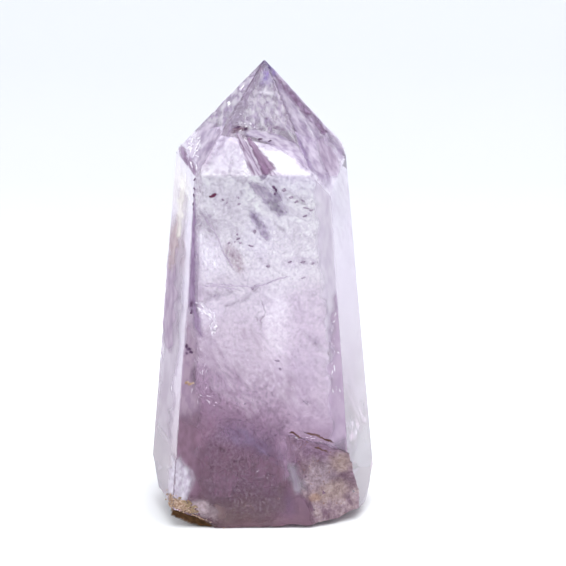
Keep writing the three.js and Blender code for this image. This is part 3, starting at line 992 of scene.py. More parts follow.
def lay_on_faces(rows):
    """Lays flat veils: name, face, start, end, three widths, finish, bow and fray."""
    for name, face, start, end, widths, finish, bow, fray in rows:
        lift = -FROST_LIFT - len(laid) * FROST_STEP
        laid.append(veil(face, name, start, end, widths, (lift, lift), finish, bow, fray, swell=0))
    print(len(laid), "veils laid, the last", round(-lift, 3), "mm over its face")


print("each lies", FROST_STEP, "mm higher than the one before")

# %% [markdown]
# The tip is frosted on its left and crumpled on its right, with a rim of frost round the clear
# lens, a dark eye beside it and violet at the very point.

# %% Place the frost of the tip
TIP_FROST = [
    ("frost_left", "tip_left", (-0.8, 89.4), (-13.0, 71.6), (1.2, 5.5, 7.5), "frost", 0, 0.7),
    ("frost_high", "tip_front", (0.7, 89.8), (1.2, 76.2), (1.4, 9, 15), "frost", 0, 0.7),
    ("frost_right", "tip_right", (1.2, 89.4), (15.0, 70.0), (1.4, 6, 10), "mauve_frost", 0, 0.7),
    ("right_wisps", "tip_front", (-1.6, 84.0), (12.0, 70.4), (2, 7, 4.5), "wisps", 0, 1.2),
    ("right_wisps_side", "tip_right", (3, 85), (14.4, 71), (1, 3.5, 5), "wisps", 0, 1.2),
    ("right_rim_shade", "tip_right", (1.6, 88.0), (12.6, 75.6), (0.8, 1.8, 1.4), "plum_skin", 0, 0.6),
    ("left_strip", "tip_left", (-8.2, 77.6), (-12.6, 69.6), (1.0, 2.2, 2.0), "mauve_skin", 0, 0.4),
    ("mauve_corner", "tip_left", (-8.8, 78.6), (-14.2, 70.6), (3, 5.6, 5), "mauve_frost", 0, 0.9),
    ("left_corner", "tip_left", (-17.0, 73.8), (-14.8, 70.2), (1.0, 2.0, 1.4), "plum_skin", 0, 0.4),
    ("corner_plum", "tip_left", (-15.4, 71.8), (-12.8, 69.2), (1.6, 2.4, 1.2), "plum_skin", 0, 0.5),
    ("corner_snow", "tip_left", (-14.6, 75.2), (-11.8, 73.6), (1.5, 1.8, 1.2), "thin_white", 0, 0.5),
    ("frost_low", "tip_front", (-6.4, 76.2), (-7.4, 69.6), (2.6, 5.6, 9), "lace", 0, 0.7),
    ("lens_rim", "tip_front", (-3.8, 77.2), (10.6, 70.4), (1.6, 3.0, 2.6), "rim_frost", 1.2, 0.5),
    ("hair_feather", "tip_front", (-5.2, 77.2), (0.9, 67.8), (0.6, 3.0, 5.2), "hair_skin", 0, 0.4),
    ("dark_eye", "tip_front", (-6.9, 77.2), (-2.6, 77.6), (1.0, 1.9, 0.9), "eye_skin", 0.3, 0.6),
    ("light_band", "tip_front", (-2.0, 84.3), (3.8, 84.1), (0.9, 1.2, 0.9), "thin_white", 0, 0.5),
    ("apex_violet", "tip_front", (0.7, 90.0), (0.7, 85.4), (0.3, 2.8, 3.4), "violet_skin", 0, 1),
    ("apex_violet_right", "tip_right", (1.0, 89.8), (2.6, 86.6), (0.3, 1.6, 1.8), "violet_skin", 0, 1),
]
lay_on_faces(TIP_FROST)

# %% [markdown]
# The front has a white lace above, a pale triangle at the left, violet hazes down the sides and
# smoke at the foot. Most are wide and have almost no outline: their fray is some millimetres.
# Two sugary layers over all of it give the fine crumple of the healed stone.

# %% Place the lace, hazes and clouds of the front
FRONT_CLOUDS = [
    ("frost_upper_left", "front", (-10.4, 69.3), (-4.4, 50.0), (8, 13, 12), "lace", 0, 1.5),
    ("frost_upper_right", "front", (4.0, 69.3), (7.8, 46.0), (12, 15, 12), "lace", 0, 1.5),
    ("frost_triangle", "front", (-12.8, 60.4), (-9.2, 48.8), (1.0, 4.4, 7), "thin_white", 0, 1.6),
    ("left_violet", "front", (-14.2, 44.0), (-15.6, 10.0), (4, 7, 9), "left_violet", 0, 3.0),
    ("foot_violet", "front", (-15.4, 26.0), (-15.4, 4.2), (8, 10, 10), "foot_violet", 0, 3.4),
    ("right_haze", "front", (11.9, 71.0), (13.8, 36.0), (5.6, 6.2, 3.6), "right_haze", 0, 1.6),
    ("right_lilac", "front", (14.0, 49.0), (16.2, 15.0), (2.4, 7, 7.6), "right_lilac", 0, 2.4),
    ("violet_cloud", "front", (-3.4, 25.0), (-3.6, 12.0), (12, 17, 19), "violet_cloud", 0, 4.0),
    ("smoke_cloud", "front", (-4.0, 19.0), (-4.0, 3.0), (15, 22, 22), "smoke_cloud", 0, 4.0),
    ("olive_cloud", "front", (-4.4, 9.0), (-2.2, 0.1), (17, 18, 15), "olive_cloud", 0, 3.6),
    ("split_haze", "front", (2.8, 21.4), (5.0, 9.0), (2.0, 3.6, 2.6), "split_haze", 0, 1.8),
    ("left_band", "front", (-13.2, 69.2), (-13.8, 43.0), (0.8, 1.3, 1.8), "left_band", 0, 0.4),
    ("ridge_haze", "tip_front", (0.5, 89.8), (-10.8, 70.6), (0.8, 2.6, 1.8), "ridge_haze", 0, 0.9),
    ("jag_shade", "front", (-13.6, 45.0), (-12.0, 37.6), (1.4, 2.4, 1.4), "left_band", 0, 0.9),
    ("sugar_high", "front", (-0.4, 62.0), (-0.6, 30.0), (24, 27, 30), "sugar", 0, 3.0),
    ("sugar_low", "front", (-3.6, 34.0), (-4.0, 1.0), (24, 19, 16), "sugar_smoke", 0, 3.0),
]
lay_on_faces(FRONT_CLOUDS)

# %% [markdown]
# A mist lies over the hairs of the tip's feather, and the worn ridges of the tip carry a narrow
# frost of their own. Faint wisps cross the slope from the left edge to the split.

# %% Place the ridge frost and the wisps
RIDGES_AND_WISPS = [
    ("hair_mist", "tip_front", (-3.2, 76.4), (1.8, 69.4), (0.8, 2.2, 3.6), "hair_mist", 0, 0.5),
    ("right_low_shade", "tip_right", (10.6, 76.0), (14.6, 68.0), (1.6, 4.0, 4.0), "mauve_skin",
     0, 1.0),
    ("ridge_frost_left", "ridge_left", (0.4, 89.8), (-12.4, 70.2), (0.8, 1.0, 1.2), "frost", 0, 0.2),
    ("ridge_frost_right", "ridge_right", (0.9, 89.6), (8.9, 69.4), (0.8, 1.0, 1.2), "frost", 0, 0.2),
    ("slope_wisps", "front", (-13.0, 37.5), (-0.5, 22.5), (5, 9, 5), "soft_wisps", 0, 2.4),
    ("middle_wisps", "front", (-4.0, 41.0), (8.5, 22.5), (4, 8, 5), "soft_wisps", 0, 2.4),
    ("low_wisps", "front", (-9.5, 21.5), (4.5, 13.5), (4, 6, 4), "blue_wisps", 0, 2.0),
]
lay_on_faces(RIDGES_AND_WISPS)

# %% [markdown]
# The left face turns from the light and shows soft tones, one over the other: grey all down it,
# mauve in its middle, rose and cream above.

# %% Place the tones of the left face
LEFT_TONES = [
    ("face_haze", "left", (-15.6, 66.0), (-20.6, 15.0), (3.2, 5.0, 5.0), "face_haze", 0, 1.6),
    ("face_mauve", "left", (-17.6, 57.0), (-19.6, 32.0), (2.4, 5.0, 4.0), "face_mauve", 0, 1.6),
    ("face_rose", "left", (-16.9, 61.0), (-18.4, 48.0), (1.8, 3.2, 2.4), "face_rose", 0, 1.2),
    ("face_cream", "left", (-15.6, 69.0), (-16.8, 55.0), (1.6, 2.4, 1.4), "face_cream", 0, 0.9),
]
lay_on_faces(LEFT_TONES)

# %% [markdown]
# Low on the left the stone took a knock and is bruised white, on the front and round the edge,
# with a tan crust below it. At the split a blue-grey finger runs down into the break.

# %% Place the bruise, the grey finger and the crust
BRUISE_AND_CRUST = [
    ("bruise_front", "front", (-17.0, 16.4), (-17.0, 3.0), (1.4, 9.4, 2.4), "bruise", 0, 2.2),
    ("bruise_left", "left", (-17.0, 14.6), (-17.9, 4.6), (2.6, 3.4, 2.4), "bruise", 0, 1.2),
    ("shelf_haze", "front", (-16.2, 5.8), (-8.0, 2.0), (3.0, 4.6, 2.0), "shelf_haze", 0, 1.8),
    ("grey_finger", "front", (4.9, 13.8), (6.9, 6.2), (1.6, 3.0, 2.2), "finger_grey", 0.2, 1.1),
    ("crust", "front", (-18.4, 5.6), (-12.8, 3.0), (2.0, 2.6, 0.8), "crust", 0, 0.5),
    ("crust_left", "left", (-18.2, 6.6), (-17.4, 3.2), (0.8, 1.5, 1.5), "crust", 0, 0.5),
]
lay_on_faces(BRUISE_AND_CRUST)

# %% [markdown]
# ## Cracks
# An open crack is a thin surface that goes back into the stone. Seen almost edge on, it shows as
# a line, and its width is only how far it slants. It is a ribbon with one edge near the face and
# the other edge deeper, and small steps to the side break up its line. Where a crack has only just
# reached the polish, the same ribbon lies on the face as a fine grey, white or brown line.

# %% Build a crack
CRACK_STEP = 0.35
CRACK_JITTER = 0.12
CRACK_UNEVEN = (0.6, 1.4)
CRACK_TAPER = 0.2
CRACK_BLUNT = 0.1


def crack(face, name, path, width, depth, reach, finish):
    """A ribbon along a path (x, z in mm on the face) that goes back into the stone by reach."""
    chance = random.Random(name)
    corners = [Vector(corner) for corner in path]
    total = sum((b - a).length for a, b in zip(corners, corners[1:]))
    points, densities, lengths = [], [], []
    travelled = 0
    for a, b in zip(corners, corners[1:]):
        way = (b - a).normalized()
        side = Vector((-way.y, way.x))
        steps = max(2, round((b - a).length / CRACK_STEP))
        for step in range(steps + (b == corners[-1])):
            along = travelled + (b - a).length * step / steps
            taper = smooth(min(along, total - along), -CRACK_BLUNT, total * CRACK_TAPER)
            spot = a.lerp(b, step / steps) + side * chance.uniform(-CRACK_JITTER, CRACK_JITTER)
            far = spot + side * width * taper * chance.uniform(*CRACK_UNEVEN)
            points += [behind(face, *spot, depth), behind(face, *far, depth + reach)]
            densities += [taper, taper]
            lengths += [(0, along), (width, along)]
        travelled += (b - a).length
    return sheet_mesh(name, points, densities, lengths, 2, finish)


print("cracks have steps of", CRACK_STEP, "mm")

# %% [markdown]
# Each crack is a path of points on its face, with a width, the depth of its near edge and how far
# it reaches back from there. A depth under 0 lays it on the polish.

# %% Place the cracks
CRACKS = [
    ("long_crack", [(-12.6, 62.9), (-9.4, 58.6), (-7.5, 54.1), (-5.0, 49.8)],
     0.26, -0.2, 0.05, "grey_line"),
    ("cross_crack_high", [(-13.0, 48.5), (-7.4, 48.2), (-2.5, 47.7), (-0.2, 48.0),
     (2.3, 49.0), (7.2, 50.4)], 0.26, -0.2, 0.05, "grey_line"),
    ("cross_crack_low", [(-12.4, 48.0), (-9.0, 47.9), (-6.4, 47.4), (-3.5, 47.2)],
     0.26, -0.2, 0.05, "grey_line"),
    ("brown_edged_crack", [(-1.0, 46.9), (-0.1, 44.3), (0.3, 42.6), (-0.7, 41.2),
     (-0.3, 38.5)], 0.3, 0.8, 2.5, "rose_veil"),
    ("brown_loop", [(-0.8, 43.6), (-1.5, 42.0), (-0.9, 40.6), (-0.3, 40.2)],
     0.22, 0.8, 1.5, "rose_veil"),
    ("white_jag", [(-13.2, 45.2), (-11.7, 43.9), (-10.8, 42.4), (-9.6, 41.2),
     (-10.4, 39.3), (-9.8, 37.6)], 0.9, -0.3, 0.05, "white_line"),
    ("white_jag_branch", [(-12.8, 43.4), (-11.2, 42.6), (-10.2, 42.0)],
     0.6, -0.3, 0.05, "white_line"),
    ("right_flecks_high", [(14.2, 42.9), (13.3, 40.5), (13.5, 37.0), (14.1, 34.8)],
     0.45, 0.4, 1.5, "white_crack"),
    ("right_flecks_low", [(13.0, 33.6), (13.4, 30.2), (14.6, 26.6), (14.4, 24.5)],
     0.4, 0.4, 1.5, "white_crack"),
    ("split_crack_left", [(4.8, 19.2), (5.8, 18.9), (6.8, 18.3), (7.6, 17.8)],
     0.34, -0.25, 0.1, "brown_line"),
    ("split_crack_right", [(7.4, 19.5), (8.8, 18.9), (10.2, 18.5), (12.0, 17.7),
     (14.4, 16.9)], 0.34, -0.25, 0.1, "brown_line"),
    ("split_crack_low", [(9.6, 16.4), (11.2, 15.8), (13.0, 15.0)],
     0.24, -0.25, 0.1, "brown_line"),
]
for row in CRACKS:
    crack("front", *row)

# %% [markdown]
# ## Specks
# Specks of iron oxide and tiny chips sit at the polish, dark ones near the feathers and brown ones
# at the foot. Each is a small flat lump just over its face: a ball whose corners a noise pushes in
# and out. Lumps of one kind share a mesh, since nothing moves them apart.

# %% Make the finishes of the grains
GRAIN_SCALE = 2500.0
GRAIN_ROUGHNESS = 0.8


def add_grain_finish(name, dark, light):
    """An opaque, dull grain in two tones."""
    material, tree, shader = new_material(name, {"Roughness": GRAIN_ROUGHNESS, "IOR": THIN_IOR})
    grain = cloud(tree, object_place(tree), GRAIN_SCALE, 0.35, 0.65).outputs["Mask"]
    wire(tree, shader, {"Base Color": blend_colours(tree, grain, screen(*dark), screen(*light))})
    finishes[name] = material


GRAIN_FINISHES = [
    ("umber_grain", (72, 30, 50), (98, 54, 76)),
    ("plum_grain", (76, 54, 78), (106, 84, 110)),
    ("grey_grain", (126, 110, 130), (158, 144, 162)),
    ("tan_grain", (142, 112, 90), (192, 168, 152)),
    ("rust_grain", (126, 106, 84), (160, 140, 114)),
]
for row in GRAIN_FINISHES:
    add_grain_finish(*row)
print(len(GRAIN_FINISHES), "kinds of grain")

# %% [markdown]
# A ball with a noise on it makes a lump in a few lines and never the same one twice, which a
# shape drawn by hand would.

# %% Build the specks
SPECK_ROUNDS = 2
SPECK_ROUGHNESS = 0.35
SPECK_THICKNESS = 0.15
SPECK_NOISE = 3.2
SPECK_TILT = 0.6


def specks(face, name, finish, depth, rows):
    """Lumps in one mesh at one depth: x, z on the face, width and height in mm for each."""
    chance = random.Random(name)
    lumps = bmesh.new()
    for x, z, width, height in rows:
        made = bmesh.ops.create_icosphere(lumps, subdivisions=SPECK_ROUNDS, radius=0.5)
        middle = behind(face, x, z, depth)
        tilt = chance.uniform(-SPECK_TILT, SPECK_TILT)
        for vertex in made["verts"]:
            offset = noise.noise(vertex.co * SPECK_NOISE + Vector((x, z, depth)))
            grown = vertex.co * (1 + SPECK_ROUGHNESS * 2 * offset)
            across = grown.x * width
            up = grown.z * height
            vertex.co = middle + Vector((across * math.cos(tilt) - up * math.sin(tilt),
                                         grown.y * SPECK_THICKNESS,
                                         across * math.sin(tilt) + up * math.cos(tilt))) * MM
    mesh = bpy.data.meshes.new(name)
    lumps.to_mesh(mesh)
    lumps.free()
    print(name, len(rows), "lumps,", len(mesh.polygons), "faces")
    return place_piece(name, mesh, finishes[finish])


print("a speck is a ball cut", SPECK_ROUNDS, "times")

# %% [markdown]
# Each speck is written down by its place on its face, its width and its height.

# %% Place the specks
SPECK_DEPTH = -0.16
SPECKS = [
    ("dark_speck", "front", "umber_grain", [
        (-9.6, 65.4, 1.0, 0.6), (-9.2, 65.7, 0.5, 0.5), (-10.1, 65.3, 0.5, 0.35)]),
    ("pepper", "front", "grey_grain", [
        (-7.7, 64.7, 0.6, 0.4), (-7.0, 64.1, 0.4, 0.3), (-4.6, 63.9, 0.6, 0.4),
        (-4.7, 65.1, 0.3, 0.5), (-5.0, 58.1, 0.4, 0.4), (-4.8, 57.2, 0.8, 0.4),
        (-6.6, 56.4, 0.6, 0.4), (-4.4, 56.4, 0.6, 0.4), (-2.3, 55.8, 0.9, 0.4),
        (-5.4, 56.6, 0.3, 0.3), (-1.6, 58.6, 0.7, 0.7), (1.0, 51.9, 0.8, 0.5),
        (5.2, 52.7, 0.8, 0.4), (7.7, 52.7, 1.0, 0.4), (9.6, 52.4, 0.6, 0.4),
        (7.7, 49.6, 0.9, 0.3), (-2.0, 47.5, 0.6, 0.5), (-1.5, 48.1, 0.5, 0.3)]),
    ("feather_knots", "front", "plum_grain", [
        (2.1, 67.1, 0.5, 0.8), (2.5, 66.6, 0.5, 0.7), (2.3, 65.9, 0.4, 0.5)]),
    ("feather_beads", "front", "grey_grain", [
        (4.1, 66.6, 0.8, 0.6), (5.4, 65.2, 0.9, 0.5), (6.4, 64.3, 0.8, 0.4),
        (7.7, 64.5, 0.9, 0.3), (8.1, 61.6, 1.0, 0.4), (8.3, 63.1, 1.2, 0.25),
        (9.3, 62.7, 0.9, 0.3)]),
    ("tan_spots", "front", "tan_grain", [
        (-14.9, 29.1, 0.9, 0.5), (-14.3, 28.8, 0.8, 0.6), (-13.7, 29.0, 0.6, 0.4)]),
    ("low_marks", "front", "grey_grain", [
        (2.7, 33.4, 1.0, 0.5), (3.3, 31.8, 0.6, 0.5), (-5.1, 24.9, 0.7, 0.3),
        (-3.6, 24.9, 0.6, 0.3), (8.2, 25.2, 1.3, 0.4)]),
    ("tip_darks", "tip_front", "plum_grain", [
        (-0.6, 75.8, 0.9, 0.4), (1.3, 75.5, 0.7, 0.3), (-5.0, 77.9, 1.1, 0.4),
        (-3.4, 77.6, 0.8, 0.4)]),
    ("tip_greys", "tip_front", "grey_grain", [
        (2.7, 77.8, 1.5, 0.8), (3.9, 77.5, 0.9, 0.6), (0.6, 79.6, 0.5, 0.3)]),
    ("left_grains", "front", "plum_grain", [
        (-14.9, 36.3, 0.6, 0.8), (-14.4, 35.7, 1.0, 0.7), (-14.0, 35.1, 0.7, 0.5),
        (-14.9, 34.9, 0.4, 0.6), (-13.9, 44.6, 0.5, 1.2), (-13.9, 42.9, 0.4, 0.8)]),
    ("edge_nicks_dark", "front", "plum_grain", [
        (-13.1, 68.6, 0.3, 0.7), (-13.2, 66.9, 0.3, 0.5), (-13.3, 65.6, 0.35, 0.6),
        (-13.4, 63.9, 0.3, 0.6), (-13.4, 62.9, 0.3, 0.4)]),
]
for name, face, finish, rows in SPECKS:
    specks(face, name, finish, SPECK_DEPTH, rows)

# %% [markdown]
# The corner at the lower left is crusted with grains of iron-stained quartz. They are too many to
# write down, so they are strewn over an oval, thick in its middle and thin at its border. A
# random row that starts from the piece's name falls the same way each time.

# %% Strew grains over the crusted corner
STREWN_DEPTH = -0.26
STREWN_SPREAD = 0.45
STREWN_FLATTEST = 0.5


def strewn(face, name, middle, half, dip, count, sizes):
    """Rows for lumps strewn over an oval that dips to the right, thickest in its middle."""
    chance = random.Random(name)
    rows = []
    for _ in range(count):
        across = chance.gauss(0, STREWN_SPREAD) * half[0]
        up = chance.gauss(0, STREWN_SPREAD) * half[1]
        x = middle[0] + across
        z = middle[1] + up - across * math.tan(math.radians(dip))
        size = chance.uniform(*sizes)
        if room_inside(behind(face, x, z, 0), face) > 0:
            rows.append((x, z, size, size * chance.uniform(STREWN_FLATTEST, 1)))
    return rows


GRAINS = [
    ("corner_tan", "front", "tan_grain", (-16.6, 4.7), (2.4, 1.3), 20, 110, (0.2, 0.5)),
    ("corner_tan_left", "left", "tan_grain", (-18.0, 5.2), (1.1, 1.4), -20, 50, (0.2, 0.5)),
    ("corner_umber", "front", "umber_grain", (-15.6, 4.6), (2.8, 1.2), 22, 9, (0.2, 0.35)),
    ("corner_rust", "front", "rust_grain", (-14.6, 4.6), (1.8, 1.0), 22, 26, (0.3, 0.7)),
    ("rim_crumbs", "front", "tan_grain", (-13.6, 2.6), (4.8, 0.2), 25, 26, (0.15, 0.35)),
]
for name, face, finish, *oval in GRAINS:
    specks(face, name, finish, STREWN_DEPTH, strewn(face, name, *oval))

# %% [markdown]
# ## Flakes
# Where small cracks reach the polish they show as bright jagged shapes along the edges and low on the
# left. Each flake is a jagged leaf about a tenth of a millimetre over the face, a little domed, so
# that it catches the lamp. Its near-white colour is partly the white of the chipped crack and partly a
# painted glint, standing for thin flakes of air that mirror the light. A leaf that would stick out
# past its face is left out.

# %% Make the finish of the flakes
SILK_SCALE = 1400.0
SILK_ALPHA = (0.9, 0.45)


def make_flake_finish():
    """A near-white, silky crack surface: the white of the crack and a painted glint."""
    material, tree, shader = new_material("white_flake_painted_glint", {"Roughness": 0.6, "IOR": 1.2})
    silk = cloud(tree, object_place(tree), SILK_SCALE, 0.4, 0.7).outputs["Mask"]
    wire(tree, shader, {
        "Base Color": blend_colours(tree, silk, screen(250, 248, 253), screen(226, 216, 232)),
        "Alpha": levels(tree, silk, 0.0, 1.0, *SILK_ALPHA),
    })
    return material


white_flake_painted_glint = make_flake_finish()
print("finish", white_flake_painted_glint.name)

# %% [markdown]
# The corners of a leaf reach out by turns far and less far, which gives the jagged outline, and
# its middle is raised a little more than they are.

# %% Build the flakes
FLAKE_LIFT = 0.13
FLAKE_DOME = 0.05
FLAKE_CORNERS = 11
FLAKE_REACHES = (0.3, 0.55, 0.9, 1.3)


def flakes(face, name, rows):
    """Jagged leaves in one mesh: x, z on the face, length and width in mm, dip in degrees."""
    chance = random.Random(name)
    points, triangles = [], []
    for x, z, length, width, dip in rows:
        leaf = [behind(face, x, z, -FLAKE_LIFT - FLAKE_DOME)]
        turn = math.radians(dip)
        for corner in range(FLAKE_CORNERS):
            angle = 2 * math.pi * corner / FLAKE_CORNERS
            reach = chance.choice(FLAKE_REACHES) / 2
            along = math.cos(angle) * length * reach
            across = math.sin(angle) * width * reach
            leaf.append(behind(face, x + along * math.cos(turn) + across * math.sin(turn),
                               z - along * math.sin(turn) + across * math.cos(turn), -FLAKE_LIFT))
        if min(room_inside(point, face) for point in leaf) < -EDGE_OVERHANG:
            continue
        middle = len(points)
        for corner in range(FLAKE_CORNERS):
            following = (corner + 1) % FLAKE_CORNERS
            triangles.append((middle, middle + 1 + corner, middle + 1 + following))
        points += leaf
    mesh = bpy.data.meshes.new(name)
    mesh.from_pydata(points, [], triangles)
    print(name, len(triangles) // FLAKE_CORNERS, "of", len(rows), "flakes fit on their face")
    return place_piece(name, mesh, white_flake_painted_glint)


print("a leaf has", FLAKE_CORNERS, "corners")

# %% [markdown]
# Flakes lie in rows where an edge was knocked or a crack came out, so they are strewn along a path
# of points and mostly lie along it.

# %% Strew flakes along paths
FLAKE_DIP_SPREAD = 16
SMALLEST_FLAKE = 0.4


def along_path(name, path, count, spread, length, width):
    """Rows for flakes strewn along a path of x, z points, mostly lying along it."""
    chance = random.Random(name)
    corners = [Vector(corner) for corner in path]
    rows = []
    for _ in range(count):
        a, b = chance.choice(list(zip(corners, corners[1:])))
        along = chance.random()
        stray = Vector((chance.gauss(0, spread), chance.gauss(0, spread)))
        spot = a.lerp(b, along) + stray
        way = b - a
        dip = -math.degrees(math.atan2(way.y, way.x)) + chance.gauss(0, FLAKE_DIP_SPREAD)
        size = chance.uniform(SMALLEST_FLAKE, 1.0)
        rows.append((spot.x, spot.y, length * size, width * size, dip))
    return rows


FLAKES = [
    ("tip_corner_flakes", "tip_left", [(-15.0, 72.9), (-12.9, 74.7), (-13.6, 72.4), (-12.2, 70.6)],
     22, 0.5, 1.5, 0.4),
    ("tip_edge_flakes", "tip_left", [(-3.9, 85.4), (-4.6, 84.6)], 4, 0.12, 0.9, 0.35),
    ("tip_edge_flakes_low", "tip_left", [(-6.4, 82.7), (-6.9, 81.6)], 3, 0.12, 1.3, 0.35),
    ("tip_glints", "tip_front", [(-5.0, 80.6), (-3.6, 78.6), (-1.6, 78.3)], 9, 0.6, 0.5, 0.25),
    ("eye_glints", "tip_front", [(-4.6, 77.6), (-2.8, 78.1)], 5, 0.15, 0.8, 0.15),
    ("hair_glints", "tip_front", [(-3.6, 75.8), (-1.4, 72.4), (0.8, 70.4)], 22, 0.45, 1.3, 0.1),
    ("shoulder_flakes", "left", [(-16.0, 69.6), (-15.2, 68.0), (-14.9, 66.0)], 5, 0.2, 1.0, 0.25),
    ("jag_flakes", "front", [(-13.0, 45.4), (-11.6, 43.9), (-10.6, 42.4), (-9.5, 40.9),
     (-10.2, 38.6)], 14, 0.35, 1.3, 0.24),
    ("jag_branch_flakes", "front", [(-12.8, 43.4), (-11.2, 42.5)], 5, 0.2, 1.3, 0.3),
    ("left_glints_high", "left", [(-18.6, 48.4), (-17.2, 48.0), (-15.8, 46.8)], 6, 0.15, 1.4, 0.25),
    ("left_glints_middle", "left", [(-22.2, 35.2), (-21.4, 31.4), (-20.4, 26.8)], 14, 0.25, 2.2, 0.6),
    ("left_glints_side", "left", [(-20.6, 31.0), (-19.4, 29.0), (-18.2, 26.2)], 9, 0.2, 1.7, 0.45),
    ("left_glints_low", "left", [(-21.6, 25.0), (-21.3, 22.8)], 5, 0.12, 1.4, 0.25),
    ("right_flakes_high", "front", [(14.1, 43.0), (13.4, 40.5), (13.6, 37.0), (14.2, 34.8)],
     9, 0.25, 1.0, 0.3),
    ("right_flakes_low", "front", [(13.2, 33.4), (13.6, 30.0), (14.8, 26.6), (14.6, 24.6)],
     8, 0.25, 1.2, 0.35),
    ("left_wisps", "front", [(-13.0, 35.0), (-11.0, 31.0), (-12.6, 27.0), (-8.6, 24.5)],
     16, 0.9, 1.1, 0.14),
    ("crack_cream", "front", [(6.4, 18.0), (9.2, 18.3), (12.4, 17.2)], 12, 0.16, 0.8, 0.15),
    ("left_scratches", "left", [(-21.0, 36.0), (-20.0, 31.0), (-20.6, 26.0)], 8, 0.5, 1.8, 0.12),
    ("left_scratches_high", "left", [(-19.6, 50.0), (-17.6, 46.0), (-18.8, 40.0)], 9, 0.5, 1.6, 0.12),
    ("strip_scratches", "front", [(-13.0, 40.0), (-11.4, 33.0), (-12.8, 26.0)], 14, 0.9, 1.2, 0.1),
    ("sparkles", "front", [(-1.2, 12.3), (-0.9, 10.4), (1.8, 9.6), (0.4, 6.8), (1.9, 5.9)],
     8, 0.4, 0.3, 0.15),
]
for name, face, *path_and_sizes in FLAKES:
    flakes(face, name, along_path(name, *path_and_sizes))

# %% [markdown]
# ## Broken skin
# The split corner and the rim of the foot are broken, not polished. A break in quartz is matt
# and granular, and iron-stained grains stick in it, tan and brown. The skin repeats the stone's
# own broken faces in small triangles, raised by the height of the grains, and lets a share of
# the violet stone through.

# %% Find the broken faces of the stone
BREAK_TOP = 22 * MM
FACES_DOWN = -0.99
ON_THE_FACE = 0.05 * MM
FOOT_UP_TO = 0.01 * MM
SIDE_RING = ("front", "right", "back_right", "back", "back_left", "left")

worn_edges = []
for one, two in zip(SIDE_RING, SIDE_RING[1:] + SIDE_RING[:1]):
    worn_edges.append((faces[one][0] + faces[two][0]).normalized())


def is_broken(polygon):
    """Whether a face of the stone is part of the split or the broken rim."""
    normal, middle = polygon.normal, polygon.center
    flat_foot = normal.z < FACES_DOWN and middle.z < FOOT_UP_TO
    polished = any(normal.dot(n) > SAME_WAY and abs(normal.dot(middle) - d) < ON_THE_FACE
                   for n, d in faces.values())
    worn = any(normal.dot(n) > SAME_WAY for n in worn_edges)
    return middle.z < BREAK_TOP and not (flat_foot or polished or worn)


print(sum(is_broken(polygon) for polygon in stone.data.polygons), "broken faces")

# %% [markdown]
# The grain is geometry: the broken faces are cut small, and three sizes of noise lift their
# corners. Towards the front face the cover fades, so the skin meets the polish without a rim.

# %% Raise a granular skin
SKIN_EDGE = 0.36 * MM
SKIN_ROUNDS = 6
SKIN_WELD = 0.002 * MM
SKIN_LIFT = 0.02
SKIN_GRAIN = 0.16
FINE_SKIN_GRAIN = 0.07
LUMP_SCALES = (1.1, 2.3, 4.7)
LUMP_SHIFT = Vector((5, 0, 0))
MIDDLING_SHARE = 0.5
SKIN_FADE = (-0.2, 1.0)


def grain_height(spot):
    """Height of the grain at a spot, in millimetres."""
    coarse, middling, fine = LUMP_SCALES
    lump = abs(noise.noise(spot * coarse))
    lump += MIDDLING_SHARE * abs(noise.noise(spot * middling + LUMP_SHIFT))
    return SKIN_GRAIN * lump + FINE_SKIN_GRAIN * abs(noise.noise(spot * fine))


def raised_skin(name, wanted):
    """The wanted faces of the stone in small triangles raised by their grain."""
    skin = bmesh.new()
    skin.from_mesh(stone.data)
    pairs = zip(skin.faces, stone.data.polygons)
    unwanted = [face for face, polygon in pairs if not wanted(polygon)]
    bmesh.ops.delete(skin, geom=unwanted, context="FACES")
    bmesh.ops.remove_doubles(skin, verts=skin.verts, dist=SKIN_WELD)
    for _ in range(SKIN_ROUNDS):
        long_edges = [edge for edge in skin.edges if edge.calc_length() > SKIN_EDGE]
        bmesh.ops.subdivide_edges(skin, edges=long_edges, cuts=1)
        bmesh.ops.triangulate(skin, faces=skin.faces)
    skin.normal_update()
    ways = [vertex.normal.copy() for vertex in skin.verts]
    to_front = []
    for vertex, way in zip(skin.verts, ways):
        to_front.append(smooth(room_behind(vertex.co, "front"), *SKIN_FADE))
        height = SKIN_LIFT + (0 if vertex.is_boundary else grain_height(vertex.co / MM))
        vertex.co += way * height * MM
        vertex.co.z = max(vertex.co.z, FOOT_UP_TO)
    mesh = bpy.data.meshes.new(name)
    skin.to_mesh(mesh)
    skin.free()
    mesh.attributes.new("veil_cover", "FLOAT", "POINT").data.foreach_set("value", to_front)
    return mesh


skin = raised_skin("broken_skin", is_broken)
print("broken skin", len(skin.polygons), "faces")
